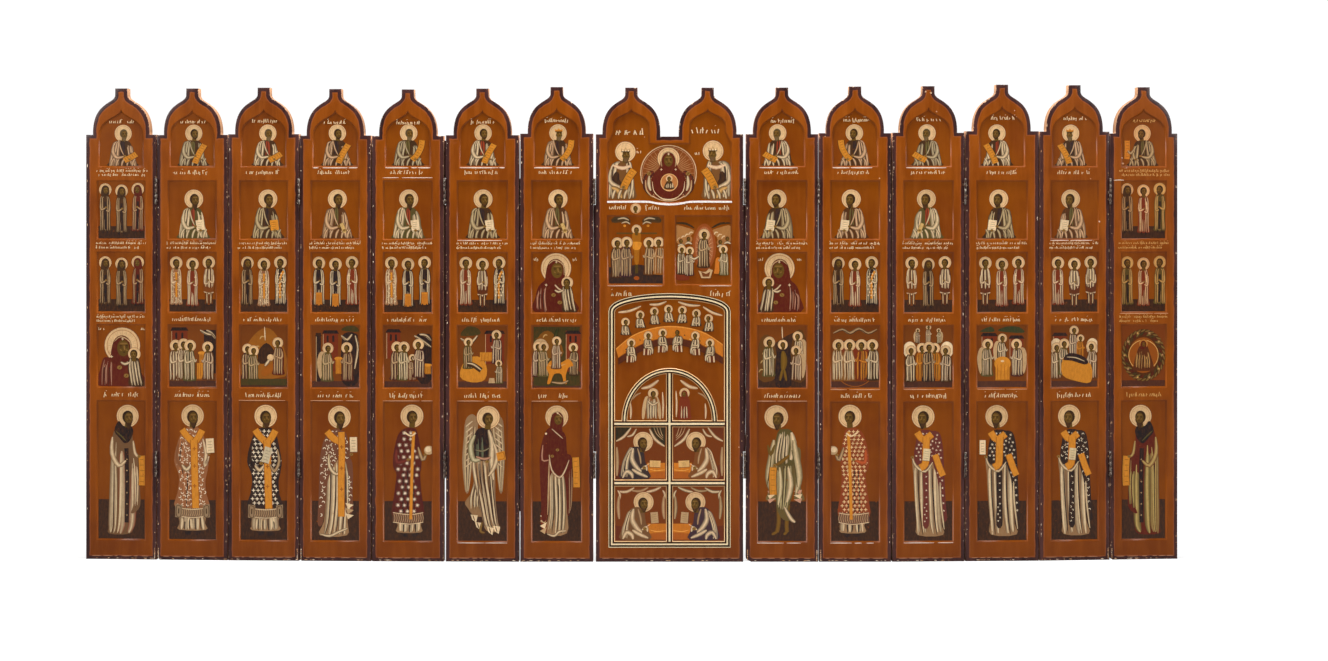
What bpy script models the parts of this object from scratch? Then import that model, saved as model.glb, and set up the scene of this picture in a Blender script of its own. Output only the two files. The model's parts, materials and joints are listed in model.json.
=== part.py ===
"""Folding travelling iconostasis: fourteen painted wooden leaves on small iron hinges.

The leaves stand side by side on their lower edges, painted faces towards -Y, numbered from the left.
The wide centre leaf is number 8. Each joint folds to the front or to the back, so that the leaves
pack face to face and back to back. Metres, +Z up.
"""

import math

import bmesh
import bpy
from mathutils import Matrix, Vector
from mathutils.geometry import interpolate_bezier

# The boards; each leaf is a little off its nominal size, because it was made by hand
NARROW_WIDTH = 0.0576
CENTRE_WIDTH = 0.1182
LEAF_HEIGHT = 0.3800
WIDTH_ERRORS_MM = (0.0, 0.0, -0.4, 0.0, 0.0, 1.0, 0.8, 0.0, 0.3, 0.0, 0.6, 1.6, -0.4, -2.2)
HEIGHT_ERRORS_MM = (0.2, 0.0, 0.5, -0.7, -1.1, -0.5, 0.7, 0.2, 0.3, 1.1, 1.5, 2.8, 2.6, 1.2)
CENTRE_LEAF = 8
LEAF_COUNT = 14
BOARD_THICKNESS = 0.0080
EDGE_CHAMFER = 0.0004

# The ogee dome with its stub
DOME_HEIGHT = 0.0374
DOME_HALF_WIDTH = 0.0232
STUB_HALF_WIDTH = 0.0050
STUB_HEIGHT = 0.0059
DOME_OFFSET_ON_CENTRE_LEAF = 0.0306
DIP_BETWEEN_DOMES = 0.0018
CURVE_STEPS = 6
# The dome's curve as shares of its half width and of its height under the stub
DOME_SHOULDER = ((1.01, 0.335), (0.90, 0.605))
DOME_TURN = (0.56, 0.775)
DOME_HOLLOW = ((0.41, 0.862), (0.24, 0.895))

# The sunken fields of a narrow leaf, from the lower edge up; the rows share the height that is free
FIELD_DEPTH = 0.0012
FIELD_WALL = 0.0003
FIELD_SIDE_MARGIN = 0.0087
BOTTOM_MARGIN = 0.0155
ROW_GAPS = (0.0100, 0.0090, 0.0095, 0.0105)
ROW_PARTS = (1130, 515, 495, 480, 231)
TOP_FIELD_INSET = 0.0046
TOP_FIELD_APEX_OVER_SILL = 0.0205
TOP_FIELD_SHOULDER_UNDER_SILL = 0.0030
# The ogee head of a top field as shares of its half width and of its rise
FIELD_HEAD_SHOULDER = ((1.0, 0.38), (0.86, 0.50))
FIELD_HEAD_TURN = (0.55, 0.66)
FIELD_HEAD_HOLLOW = ((0.24, 0.80), (0.06, 0.84))
FIELD_HEAD_STEPS = 3

# The sunken fields of the centre leaf
CENTRE_FIELD_SIDE_MARGIN = 0.0090
CENTRE_TOP_FIELD_BULGE = 0.0021
CENTRE_TOP_FIELD_BULGE_HALF_WIDTH = 0.0167
CENTRE_TOP_FIELD_BULGE_ARC_DEG = (195, 345)
CENTRE_TOP_FIELD_BULGE_STEPS = 4
CENTRE_TOP_FIELD_SHOULDER_OVER_SILL = 0.0047
CENTRE_TOP_FIELD_CREST_UNDER_SILL = 0.0070
CENTRE_TOP_FIELD_HEAD_HALF_WIDTH = 0.0150
SCENE_HALF_GAP = 0.0043

# The painted doors of the centre leaf, with shallow panels between flat bars
DOOR_PANEL_DEPTH = 0.0007
DOOR_HALF_WIDTH = 0.0444
DOOR_BAR = 0.0043
DOOR_BOTTOM = 0.0160
DOOR_ARCH_HALF_WIDTH = 0.0345
DOOR_ARCH_HEIGHT = 0.0386
DOOR_ARCH_BAND = 0.0034
HEAD_RISE = 0.0104
ARC_STEPS = 10

# The centre leaf from the lower edge up: two rows of door panels, the doors' head, the scenes, the top field
CENTRE_GAPS = (DOOR_BAR, DOOR_BAR, 0.0110, 0.0113)
CENTRE_PARTS = (450, 432, 980, 561, 464)

# The hinges, two at each joint, and the slits between the boards, which have opened here and there
JOINT_GAP = 0.0006
GAP_ERRORS_MM = (0.0, 0.0, 0.0, 0.2, 1.2, 0.4, 1.6, 1.6, 0.2, 0.2, 0.2, 0.0, 0.0)
JOINTS_THAT_FOLD_BACK = (2, 4, 6, 10, 12)
REST_ANGLES_DEG = {2: 0.9, 4: 0.9, 6: 0.9, 10: 1.9, 12: 1.9}
UPPER_HINGE_UNDER_SILL = 0.0456
LOWER_HINGE_HEIGHT = 0.0775
HINGE_LENGTH = 0.0210
BARREL_RADIUS = 0.0010
BARREL_SIDES = 10
HINGE_CLEARANCE = 0.0003
PLATE_INSET_IN_BARREL = 0.0003
PLATE_THICKNESS = 0.0005
PLATE_DEPTH = 0.0055

# Chips out of the lower corners, as width and height, by leaf and side
CORNER_CHIPS = {
    (9, -1): (0.0042, 0.0026),
    (2, -1): (0.0022, 0.0030),
    (4, -1): (0.0018, 0.0024),
    (14, -1): (0.0020, 0.0028),
}

WOOD_COLOUR = (0.26, 0.075, 0.012)
IRON_COLOUR = (0.11, 0.09, 0.08)

MM = 0.001
PIN_OFFSET = BARREL_RADIUS + HINGE_CLEARANCE
OVERCUT = 0.002
WELD_DISTANCE = 0.00001


def clear_scene():
    """Remove whatever objects the scene holds."""
    for thing in list(bpy.data.objects):
        bpy.data.objects.remove(thing, do_unlink=True)


def new_collection(name):
    """Make a collection under the scene's own."""
    collection = bpy.data.collections.new(name)
    bpy.context.scene.collection.children.link(collection)
    return collection


def new_material(name, colour, roughness, metallic):
    """Make a Principled material."""
    material = bpy.data.materials.new(name)
    material.use_nodes = True
    shader = material.node_tree.nodes["Principled BSDF"]
    shader.inputs["Base Color"].default_value = (*colour, 1.0)
    shader.inputs["Roughness"].default_value = roughness
    shader.inputs["Metallic"].default_value = metallic
    return material


def slab_mesh(name, outlines, thickness, chamfer):
    """Extrude upright outlines into slabs whose two rims are chamfered, centred on y = 0."""
    curve = bpy.data.curves.new(name, "CURVE")
    curve.dimensions = "2D"
    curve.fill_mode = "BOTH"
    curve.extrude = thickness / 2 - chamfer
    curve.bevel_depth = chamfer
    curve.bevel_resolution = 0
    curve.offset = -chamfer
    for outline in outlines:
        spline = curve.splines.new("POLY")
        spline.points.add(len(outline) - 1)
        for point, (x, z) in zip(spline.points, outline):
            point.co = (x, z, 0.0, 1.0)
        spline.use_cyclic_u = True
    holder = bpy.data.objects.new(name, curve)
    bpy.context.scene.collection.objects.link(holder)
    evaluated = holder.evaluated_get(bpy.context.evaluated_depsgraph_get())
    mesh = bpy.data.meshes.new_from_object(evaluated)
    bpy.data.objects.remove(holder, do_unlink=True)
    mesh.name = name
    weld(mesh)
    mesh.transform(Matrix.Rotation(math.pi / 2, 4, "X"))
    return mesh


def weld(mesh):
    """Join the loose caps of a mesh that came from a curve."""
    work = bmesh.new()
    work.from_mesh(mesh)
    bmesh.ops.remove_doubles(work, verts=work.verts, dist=WELD_DISTANCE)
    bmesh.ops.recalc_face_normals(work, faces=work.faces)
    work.to_mesh(mesh)
    work.free()


def curved(start, start_handle, end_handle, end, steps):
    """Points along one Bezier stretch, without its first point."""
    knots = [Vector((*point, 0.0)) for point in (start, start_handle, end_handle, end)]
    points = interpolate_bezier(*knots, steps + 1)
    return [(point.x, point.y) for point in points[1:]]


def dome_right_half():
    """The dome's right side from its foot to the top of the stub, as offsets from its foot's middle."""
    wide, tall = DOME_HALF_WIDTH, DOME_HEIGHT - STUB_HEIGHT
    turn = (DOME_TURN[0] * wide, DOME_TURN[1] * tall)
    neck = (STUB_HALF_WIDTH, tall)
    shoulder = [(across * wide, up * tall) for across, up in DOME_SHOULDER]
    hollow = [(across * wide, up * tall) for across, up in DOME_HOLLOW]
    rise = curved((wide, 0.0), *shoulder, turn, CURVE_STEPS)
    sweep = curved(turn, *hollow, neck, CURVE_STEPS)
    return [(wide, 0.0)] + rise + sweep + [(STUB_HALF_WIDTH, DOME_HEIGHT)]


def dome_points(middle, sill):
    """A whole dome from its right foot over the stub to its left foot."""
    right = dome_right_half()
    left = [(-x, z) for x, z in reversed(right)]
    return [(middle + x, sill + z) for x, z in right + left]


def narrow_outline(width, height):
    """A narrow leaf: a plain rectangle up to the sill, with one dome on it."""
    sill = height - DOME_HEIGHT
    half = width / 2
    return [(-half, 0.0), (half, 0.0), (half, sill)] + dome_points(0.0, sill) + [(-half, sill)]


def wide_outline(width, height):
    """The centre leaf, with two domes and a slightly lower sill between them."""
    sill = height - DOME_HEIGHT
    half = width / 2
    right = dome_points(DOME_OFFSET_ON_CENTRE_LEAF, sill)
    left = dome_points(-DOME_OFFSET_ON_CENTRE_LEAF, sill)
    right[-1] = (right[-1][0], sill - DIP_BETWEEN_DOMES)
    left[0] = (left[0][0], sill - DIP_BETWEEN_DOMES)
    return [(-half, 0.0), (half, 0.0), (half, sill)] + right + left + [(-half, sill)]


def rectangle(left, right, low, high):
    """Four corners, counterclockwise."""
    return [(left, low), (right, low), (right, high), (left, high)]


def pointed_head(middle, half_width, shoulder, apex):
    """The ogee top of a sunken field, from its right shoulder to its left one."""
    rise = apex - shoulder
    turn = (FIELD_HEAD_TURN[0] * half_width, shoulder + FIELD_HEAD_TURN[1] * rise)
    foot = (half_width, shoulder)
    full = [(across * half_width, shoulder + up * rise) for across, up in FIELD_HEAD_SHOULDER]
    drawn_in = [(across * half_width, shoulder + up * rise) for across, up in FIELD_HEAD_HOLLOW]
    side = curved(foot, *full, turn, FIELD_HEAD_STEPS)
    tip = curved(turn, *drawn_in, (0.0, apex), FIELD_HEAD_STEPS - 1)
    right = [foot] + side + tip
    left = [(-x, z) for x, z in reversed(right[:-1])]
    return [(middle + x, z) for x, z in right + left]


def ellipse_arc(half_width, height, base, start, end, steps):
    """Points on an ellipse round (0, base), between two angles in degrees."""
    angles = [math.radians(start + (end - start) * n / steps) for n in range(steps + 1)]
    return [(half_width * math.cos(a), base + height * math.sin(a)) for a in angles]


def stack(low, top, parts, gaps):
    """Rows from low to top as pairs of heights: the gaps are fixed, and the rows share the rest."""
    free = top - low - sum(gaps)
    rows = []
    for part, gap in zip(parts, (*gaps, 0.0)):
        high = low + free * part / sum(parts)
        rows.append((low, high))
        low = high + gap
    return rows


def narrow_fields(width, height):
    """The five sunken fields of a narrow leaf, the uppermost with a pointed head."""
    sill = height - DOME_HEIGHT
    half = width / 2 - FIELD_SIDE_MARGIN
    shoulder = LEAF_HEIGHT - DOME_HEIGHT - TOP_FIELD_SHOULDER_UNDER_SILL
    *rows, (low, _) = stack(BOTTOM_MARGIN, shoulder, ROW_PARTS, ROW_GAPS)
    fields = [rectangle(-half, half, *row) for row in rows]
    half = DOME_HALF_WIDTH - TOP_FIELD_INSET
    head = pointed_head(0.0, half, sill - TOP_FIELD_SHOULDER_UNDER_SILL, sill + TOP_FIELD_APEX_OVER_SILL)
    fields.append([(-half, low), (half, low)] + head)
    return fields


def centre_rows():
    """The centre leaf's rows, from the lower door panels up to the top field."""
    crest = LEAF_HEIGHT - DOME_HEIGHT - CENTRE_TOP_FIELD_CREST_UNDER_SILL
    return stack(DOOR_BOTTOM, crest, CENTRE_PARTS, CENTRE_GAPS)


def centre_fields(width, height):
    """The two-headed top field and the two scenes of the centre leaf."""
    sill = height - DOME_HEIGHT
    half = width / 2 - CENTRE_FIELD_SIDE_MARGIN
    crest = sill - CENTRE_TOP_FIELD_CREST_UNDER_SILL
    apex = sill + TOP_FIELD_APEX_OVER_SILL
    shoulder = sill + CENTRE_TOP_FIELD_SHOULDER_OVER_SILL
    head = pointed_head(DOME_OFFSET_ON_CENTRE_LEAF, CENTRE_TOP_FIELD_HEAD_HALF_WIDTH, shoulder, apex)
    inner = DOME_OFFSET_ON_CENTRE_LEAF - CENTRE_TOP_FIELD_HEAD_HALF_WIDTH
    scene, (base, _) = centre_rows()[-2:]
    arc = (*CENTRE_TOP_FIELD_BULGE_ARC_DEG, CENTRE_TOP_FIELD_BULGE_STEPS)
    bulge = ellipse_arc(CENTRE_TOP_FIELD_BULGE_HALF_WIDTH, CENTRE_TOP_FIELD_BULGE, base, *arc)
    right = [(half, base), (half, crest), (head[0][0], shoulder)] + head[1:] + [(inner, crest)]
    left = [(-x, z) for x, z in reversed(right)]
    scenes = [
        rectangle(-half, -SCENE_HALF_GAP, *scene),
        rectangle(SCENE_HALF_GAP, half, *scene),
    ]
    return [bulge + right + left] + scenes


def door_panels():
    """The shallow panels of the doors: four squares, two under the arch, and the head over it."""
    inner = DOOR_BAR / 2
    *squares, (low, top) = centre_rows()[:3]
    panels = []
    for row in squares:
        panels.append(rectangle(-DOOR_HALF_WIDTH, -inner, *row))
        panels.append(rectangle(inner, DOOR_HALF_WIDTH, *row))
    wide, tall = DOOR_ARCH_HALF_WIDTH, DOOR_ARCH_HEIGHT
    start = math.degrees(math.acos(inner / wide))
    quarter = ellipse_arc(wide, tall, low, 0, start, ARC_STEPS // 2)
    panels.append([(inner, low)] + quarter)
    panels.append([(-x, z) for x, z in reversed([(inner, low)] + quarter)])
    panels.append(door_head(low, top))
    return panels


def door_head(base, crown):
    """The field between the arched frame and the band round the doors' arch."""
    wide, tall = DOOR_ARCH_HALF_WIDTH + DOOR_ARCH_BAND, DOOR_ARCH_HEIGHT + DOOR_ARCH_BAND
    around = ellipse_arc(wide, tall, base, 180, 0, ARC_STEPS)
    spring = crown - HEAD_RISE
    top = ellipse_arc(DOOR_HALF_WIDTH, HEAD_RISE, spring, 0, 180, ARC_STEPS // 2)
    return around + [(DOOR_HALF_WIDTH, base)] + top + [(-DOOR_HALF_WIDTH, base)]


def add_object(name, mesh, collection, parent, location):
    """Place a mesh under its parent."""
    thing = bpy.data.objects.new(name, mesh)
    collection.objects.link(thing)
    thing.parent = parent
    thing.location = location
    return thing


def cut_away(board, name, mesh, offset, cutters):
    """Cut a mesh that moves with the board out of it."""
    cutter = add_object(name, mesh, cutters, board, offset)
    cutter.hide_render = True
    cutter.display_type = "WIRE"
    boolean = board.modifiers.new(name, "BOOLEAN")
    boolean.operation = "DIFFERENCE"
    boolean.solver = "EXACT"
    boolean.object = cutter


def box_mesh(name, lows, highs):
    """A box between two corners."""
    work = bmesh.new()
    size = [high - low for low, high in zip(lows, highs)]
    middle = [(high + low) / 2 for low, high in zip(lows, highs)]
    matrix = Matrix.Translation(middle) @ Matrix.Diagonal((*size, 1.0))
    bmesh.ops.create_cube(work, size=1.0, matrix=matrix)
    mesh = bpy.data.meshes.new(name)
    work.to_mesh(mesh)
    work.free()
    return mesh


def leaf_width(leaf):
    """A board's width."""
    nominal = CENTRE_WIDTH if leaf == CENTRE_LEAF else NARROW_WIDTH
    return nominal + WIDTH_ERRORS_MM[leaf - 1] * MM


def leaf_height(leaf):
    """A board's height, stub included."""
    return LEAF_HEIGHT + HEIGHT_ERRORS_MM[leaf - 1] * MM


def joint_gap(joint):
    """The slit between two boards."""
    return JOINT_GAP + GAP_ERRORS_MM[joint - 1] * MM


def folds_back(joint):
    """Whether a joint's pin is behind the boards."""
    return joint in JOINTS_THAT_FOLD_BACK


def own_joint(leaf):
    """The joint that ties a leaf to its neighbour on the centre leaf's side."""
    return leaf if leaf < CENTRE_LEAF else leaf - 1


def board_middle(leaf):
    """Where a board's middle is, seen from the pin it turns on; the centre leaf is its own origin."""
    if leaf == CENTRE_LEAF:
        return Vector((0.0, 0.0, 0.0))
    joint = own_joint(leaf)
    side = -1 if leaf < CENTRE_LEAF else 1
    away = joint_gap(joint) / 2 + leaf_width(leaf) / 2
    behind = PIN_OFFSET + BOARD_THICKNESS / 2
    return Vector((side * away, -behind if folds_back(joint) else behind, 0.0))


def next_pin(leaf, joint, side):
    """The pin of a joint on one side of a leaf, in that leaf's own frame."""
    middle = board_middle(leaf)
    away = leaf_width(leaf) / 2 + joint_gap(joint) / 2
    out = PIN_OFFSET + BOARD_THICKNESS / 2
    return middle + Vector((side * away, out if folds_back(joint) else -out, 0.0))


def barrel_with_plate(name, gap, side, back):
    """A hinge's barrel round its pin, with the plate that is let into the neighbour's edge."""
    work = bmesh.new()
    ends = {"radius1": BARREL_RADIUS, "radius2": BARREL_RADIUS}
    bmesh.ops.create_cone(work, cap_ends=True, segments=BARREL_SIDES, depth=HINGE_LENGTH, **ends)
    mesh = bpy.data.meshes.new(name)
    work.to_mesh(mesh)
    work.free()
    inner, outer = PLATE_INSET_IN_BARREL, gap / 2 + PLATE_THICKNESS
    reach = PIN_OFFSET + PLATE_DEPTH
    half = HINGE_LENGTH / 2 - HINGE_CLEARANCE
    lows = (min(-side * inner, -side * outer), min(0.0, -back * reach), -half)
    highs = (max(-side * inner, -side * outer), max(0.0, -back * reach), half)
    return mesh, box_mesh(name + "_plate", lows, highs)


def add_hinges(parent, joint, side, pin, parts, cutters, iron):
    """Two hinges at a joint: their barrels and plates ride on the leaf nearer to the centre."""
    back = 1 if folds_back(joint) else -1
    gap = joint_gap(joint)
    upper = LEAF_HEIGHT - DOME_HEIGHT - UPPER_HINGE_UNDER_SILL
    for place, height in (("upper", upper), ("lower", LOWER_HINGE_HEIGHT)):
        name = f"hinge_{joint:02d}_{joint + 1:02d}_{place}"
        barrel, plate = barrel_with_plate(name, gap, side, back)
        hinge = add_object(name, barrel, parts, parent, pin + Vector((0.0, 0.0, height)))
        hinge.data.materials.append(iron)
        arm = add_object(name + "_arm", plate, cutters, hinge, (0.0, 0.0, 0.0))
        arm.hide_render = True
        arm.display_type = "WIRE"
        union = hinge.modifiers.new("plate", "BOOLEAN")
        union.operation = "UNION"
        union.solver = "EXACT"
        union.object = arm
        cut_away(parent, name + "_mortise", mortise(name, gap, side, back), hinge.location, cutters)


def mortise(name, gap, side, back):
    """The housing for a hinge's plate in the edge of the leaf nearer to the centre."""
    near, far = gap / 2 - OVERCUT, gap / 2 + PLATE_THICKNESS + HINGE_CLEARANCE
    reach = PIN_OFFSET + PLATE_DEPTH + HINGE_CLEARANCE
    half = HINGE_LENGTH / 2 + HINGE_CLEARANCE
    lows = (min(-side * near, -side * far), min(back * OVERCUT, -back * reach), -half)
    highs = (max(-side * near, -side * far), max(back * OVERCUT, -back * reach), half)
    return box_mesh(name + "_mortise", lows, highs)


def add_board(leaf, parent, pin, parts, cutters, wood):
    """A leaf on the pin it turns on, with its sunken fields and its chips."""
    width, height = leaf_width(leaf), leaf_height(leaf)
    wide = leaf == CENTRE_LEAF
    name = "leaf_08_centre" if wide else f"leaf_{leaf:02d}"
    outline = wide_outline(width, height) if wide else narrow_outline(width, height)
    mesh = slab_mesh(name, [outline], BOARD_THICKNESS, EDGE_CHAMFER)
    middle = board_middle(leaf)
    mesh.transform(Matrix.Translation(middle))
    board = add_object(name, mesh, parts, parent, pin)
    board.data.materials.append(wood)
    front = middle - Vector((0.0, BOARD_THICKNESS / 2, 0.0))
    fields = centre_fields(width, height) if wide else narrow_fields(width, height)
    cutter = slab_mesh(name + "_fields", fields, 2 * FIELD_DEPTH, FIELD_DEPTH - FIELD_WALL)
    cut_away(board, name + "_fields", cutter, front, cutters)
    if wide:
        slope = DOOR_PANEL_DEPTH - FIELD_WALL
        panels = slab_mesh(name + "_doors", door_panels(), 2 * DOOR_PANEL_DEPTH, slope)
        cut_away(board, name + "_doors", panels, front, cutters)
    for (chipped, side), (across, up) in CORNER_CHIPS.items():
        if chipped == leaf:
            corner = middle + Vector((side * width / 2, 0.0, 0.0))
            cut_away(board, name + "_chip", chip_mesh(name, across, up), corner, cutters)
    return board


def chip_mesh(name, across, up):
    """A wedge that breaks a lower corner off along a slant."""
    outline = [(-across, 0.0), (0.0, -up), (across, 0.0), (0.0, up)]
    return slab_mesh(name + "_chip", [outline], BOARD_THICKNESS + 2 * OVERCUT, EDGE_CHAMFER)


def stand_on_origin(root, parts):
    """Move the whole so that the middle of its box's underside is the origin."""
    bpy.context.view_layer.update()
    graph = bpy.context.evaluated_depsgraph_get()
    corners = []
    for thing in parts.objects:
        solid = thing.evaluated_get(graph)
        corners += [thing.matrix_world @ vertex.co for vertex in solid.data.vertices]
    lows = [min(corner[axis] for corner in corners) for axis in range(3)]
    highs = [max(corner[axis] for corner in corners) for axis in range(3)]
    root.location = (-(lows[0] + highs[0]) / 2, -(lows[1] + highs[1]) / 2, -lows[2])
    bpy.context.view_layer.update()


def build():
    """Model the centre leaf, then each wing outwards from it."""
    clear_scene()
    parts, cutters = new_collection("travelling_iconostasis"), new_collection("cutters")
    wood = new_material("varnished_painted_wood", WOOD_COLOUR, roughness=0.32, metallic=0.0)
    iron = new_material("old_iron", IRON_COLOUR, roughness=0.5, metallic=0.9)
    root = bpy.data.objects.new("ground_point", None)
    bpy.context.scene.collection.objects.link(root)
    centre = add_board(CENTRE_LEAF, root, (0.0, 0.0, 0.0), parts, cutters, wood)
    wings = ((-1, range(CENTRE_LEAF - 1, 0, -1)), (1, range(CENTRE_LEAF + 1, LEAF_COUNT + 1)))
    for side, leaves in wings:
        inner, inner_number = centre, CENTRE_LEAF
        for leaf in leaves:
            joint = own_joint(leaf)
            pin = next_pin(inner_number, joint, side)
            add_hinges(inner, joint, side, pin, parts, cutters, iron)
            board = add_board(leaf, inner, pin, parts, cutters, wood)
            sweep = math.radians(REST_ANGLES_DEG.get(joint, 0.0))
            board.rotation_euler.z = side * sweep
            inner, inner_number = board, leaf
    stand_on_origin(root, parts)


build()
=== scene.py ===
"""Folding travelling iconostasis: painted and varnished leaves on small iron hinges, standing opened."""
import json
import math
import random
from math import cos, pi, radians, sin

import bmesh
import bpy
from mathutils import Matrix, Vector
from mathutils.geometry import interpolate_bezier


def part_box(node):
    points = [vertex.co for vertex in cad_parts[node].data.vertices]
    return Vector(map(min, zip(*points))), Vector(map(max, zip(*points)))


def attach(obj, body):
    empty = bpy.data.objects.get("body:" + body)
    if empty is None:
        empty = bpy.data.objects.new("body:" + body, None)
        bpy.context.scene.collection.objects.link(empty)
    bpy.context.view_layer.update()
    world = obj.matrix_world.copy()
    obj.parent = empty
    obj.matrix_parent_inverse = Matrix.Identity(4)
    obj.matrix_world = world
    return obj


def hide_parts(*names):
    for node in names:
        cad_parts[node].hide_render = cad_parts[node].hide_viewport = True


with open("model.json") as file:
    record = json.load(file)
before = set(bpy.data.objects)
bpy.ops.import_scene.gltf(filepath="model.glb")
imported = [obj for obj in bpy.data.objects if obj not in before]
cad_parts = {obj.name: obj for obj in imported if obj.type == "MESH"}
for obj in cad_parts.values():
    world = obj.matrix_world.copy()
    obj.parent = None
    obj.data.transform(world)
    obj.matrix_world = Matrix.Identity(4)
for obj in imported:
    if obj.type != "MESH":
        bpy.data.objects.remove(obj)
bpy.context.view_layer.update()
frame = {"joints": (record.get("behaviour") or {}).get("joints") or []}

# ---- The boards
# Fourteen thin boards, each sawn to an ogee dome with a stub on top, the centre one twice as wide with two
# domes. The sunken fields were cut out with a gouge, then the front was grounded, painted and oiled; the
# sides and the backs stayed bare wood.
CENTRE = 8
SWEEP_DEG = {1: -2.7, 2: -2.7, 3: -1.8, 4: -1.8, 5: -0.9, 6: -0.9, 11: 1.9, 12: 1.9, 13: 3.8, 14: 3.8}
THICKNESS = 8
DOME_HEIGHT = 37.4
DOME_HALF_WIDTH = 23.2
STUB_HALF_WIDTH = 5
STUB_HEIGHT = 5.9
DOME_OFFSET = 30.6
DIP = 1.8
EDGE_REACH = 4
FIELD_DEPTH, PANEL_DEPTH = 1.2, 0.7
FIELD_MARGIN, WIDE_FIELD_MARGIN, SCENE_HALF_GAP = 8.7, 9, 4.3
ROWS = ((15.5, 128.5), (138.5, 190), (199, 248.5), (258, 306))
TOP_FIELD_LOW, TOP_FIELD_HALF, TOP_FIELD_APEX = 316.5, 18.6, 20.5
WIDE_TOP_LOW, SCENES_LOW, SCENES_HIGH = 289.2, 221.8, 277.9
BULGE_HALF, BULGE_DROP = 16.7, 2.1
DOOR_HALF, DOOR_LOW, DOOR_BAR, DOOR_CELLS = 44.4, 16, 4.3, (45, 43.2)
ARCH_HALF, ARCH_HEIGHT, ARCH_BAND = 34.5, 38.6, 3.4
HEAD_FOOT, HEAD_RISE = 87.6, 10.4
BROKEN_FEET = {9: (4.2, 2.6), 2: (2.2, 3), 4: (1.8, 2.4), 14: (2, 2.8)}


def name_of(number):
    """The name of a leaf's node in the CAD."""
    return "leaf_08_centre" if number == CENTRE else f"leaf_{number:02d}"


def body_of(number):
    return "centre_leaf" if number == CENTRE else f"leaf_{number:02d}"


class Leaf:
    """A board's place and size, in mm, from its CAD box and the angle that it is swept back by."""

    def __init__(self, number):
        low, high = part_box(name_of(number))
        sweep = radians(SWEEP_DEG.get(number, 0))
        span = (high.x - low.x) * 1000 - THICKNESS * abs(sin(sweep))
        middle = (low + high) / 2
        self.number = number
        self.wide = number == CENTRE
        self.width = span / cos(sweep)
        self.height = high.z * 1000
        self.sill = self.height - DOME_HEIGHT
        place = Matrix.Translation((middle.x, middle.y, 0)) @ Matrix.Rotation(sweep, 4, "Z")
        self.place = place @ Matrix.Diagonal((0.001, 0.001, 0.001, 1))

    def finish(self, name, mesh, *materials):
        """Put a mesh that was made in mm on the leaf into the frame, riding on the leaf's body."""
        mesh.transform(self.place)
        piece = bpy.data.objects.new(name, mesh)
        bpy.context.scene.collection.objects.link(piece)
        for material in materials:
            mesh.materials.append(material)
        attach(piece, body_of(self.number))
        return piece


def curve(start, start_handle, end_handle, end, steps):
    knots = [Vector((*point, 0)) for point in (start, start_handle, end_handle, end)]
    return [(point.x, point.y) for point in interpolate_bezier(*knots, steps + 1)[1:]]


def dome(middle, sill, dip_right=0, dip_left=0):
    """One dome from its right foot over the stub to its left foot."""
    wide, tall = DOME_HALF_WIDTH, DOME_HEIGHT - STUB_HEIGHT
    turn, neck = (0.56 * wide, 0.775 * tall), (STUB_HALF_WIDTH, tall)
    rise = curve((wide, 0), (1.01 * wide, 0.335 * tall), (0.90 * wide, 0.605 * tall), turn, 12)
    sweep = curve(turn, (0.41 * wide, 0.862 * tall), (0.24 * wide, 0.895 * tall), neck, 12)
    half = rise + sweep + [(STUB_HALF_WIDTH - 0.1, DOME_HEIGHT)]
    right = [(wide, -dip_right)] + half
    left = [(-x, z) for x, z in reversed([(wide, -dip_left)] + half)]
    return [(middle + x, sill + z) for x, z in right + left]


def along(start, end, step):
    """Points on a straight edge, without its end."""
    count = max(1, round(math.dist(start, end) / step))
    return [tuple(a + (b - a) * n / count for a, b in zip(start, end)) for n in range(count)]


def board_outline(leaf):
    """The sawn outline, counterclockwise, with a broken lower corner where the real leaf has one."""
    half, sill = leaf.width / 2, leaf.sill
    foot = BROKEN_FEET.get(leaf.number)
    low_left = [(-half, 0)]
    if foot:
        across, up = foot
        low_left = [(-half, up), (-half + 0.35 * across, 0.55 * up), (-half + across, 0)]
    domes = dome(0, sill)
    if leaf.wide:
        domes = dome(DOME_OFFSET, sill, dip_left=DIP) + dome(-DOME_OFFSET, sill, dip_right=DIP)
    outline = low_left + along(low_left[-1], (half, 0), 14)[1:] + along((half, 0), (half, sill), 14)
    outline += [(half, sill)] + domes + along((-half, sill), low_left[0], 14)
    return [Vector(point) for point in outline]


def inset(outline, distance):
    """The outline moved inwards by a distance, corner by corner."""
    moved = []
    for before, here, after in zip(outline[-1:] + outline[:-1], outline, outline[1:] + outline[:1]):
        first, second = (here - before).normalized(), (after - here).normalized()
        first, second = Vector((-first.y, first.x)), Vector((-second.y, second.x))
        moved.append(here + (first + second) * distance / (1 + first.dot(second)))
    return moved


def rectangle(left, right, low, high):
    return [Vector((left, low)), Vector((right, low)), Vector((right, high)), Vector((left, high))]


def pointed(middle, half, shoulder, apex):
    """The ogee head of a top field, from its right shoulder to its left one."""
    rise = apex - shoulder
    turn = (0.55 * half, shoulder + 0.66 * rise)
    shares = ((1, 0.38), (0.86, 0.5), (0.24, 0.8), (0.06, 0.84))
    handles = [(across * half, shoulder + up * rise) for across, up in shares]
    side = curve((half, shoulder), *handles[:2], turn, 6)
    tip = curve(turn, *handles[2:], (0, apex), 5)
    right = [(half, shoulder)] + side + tip
    return [Vector((middle + x, z)) for x, z in right + [(-x, z) for x, z in reversed(right[:-1])]]


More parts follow.
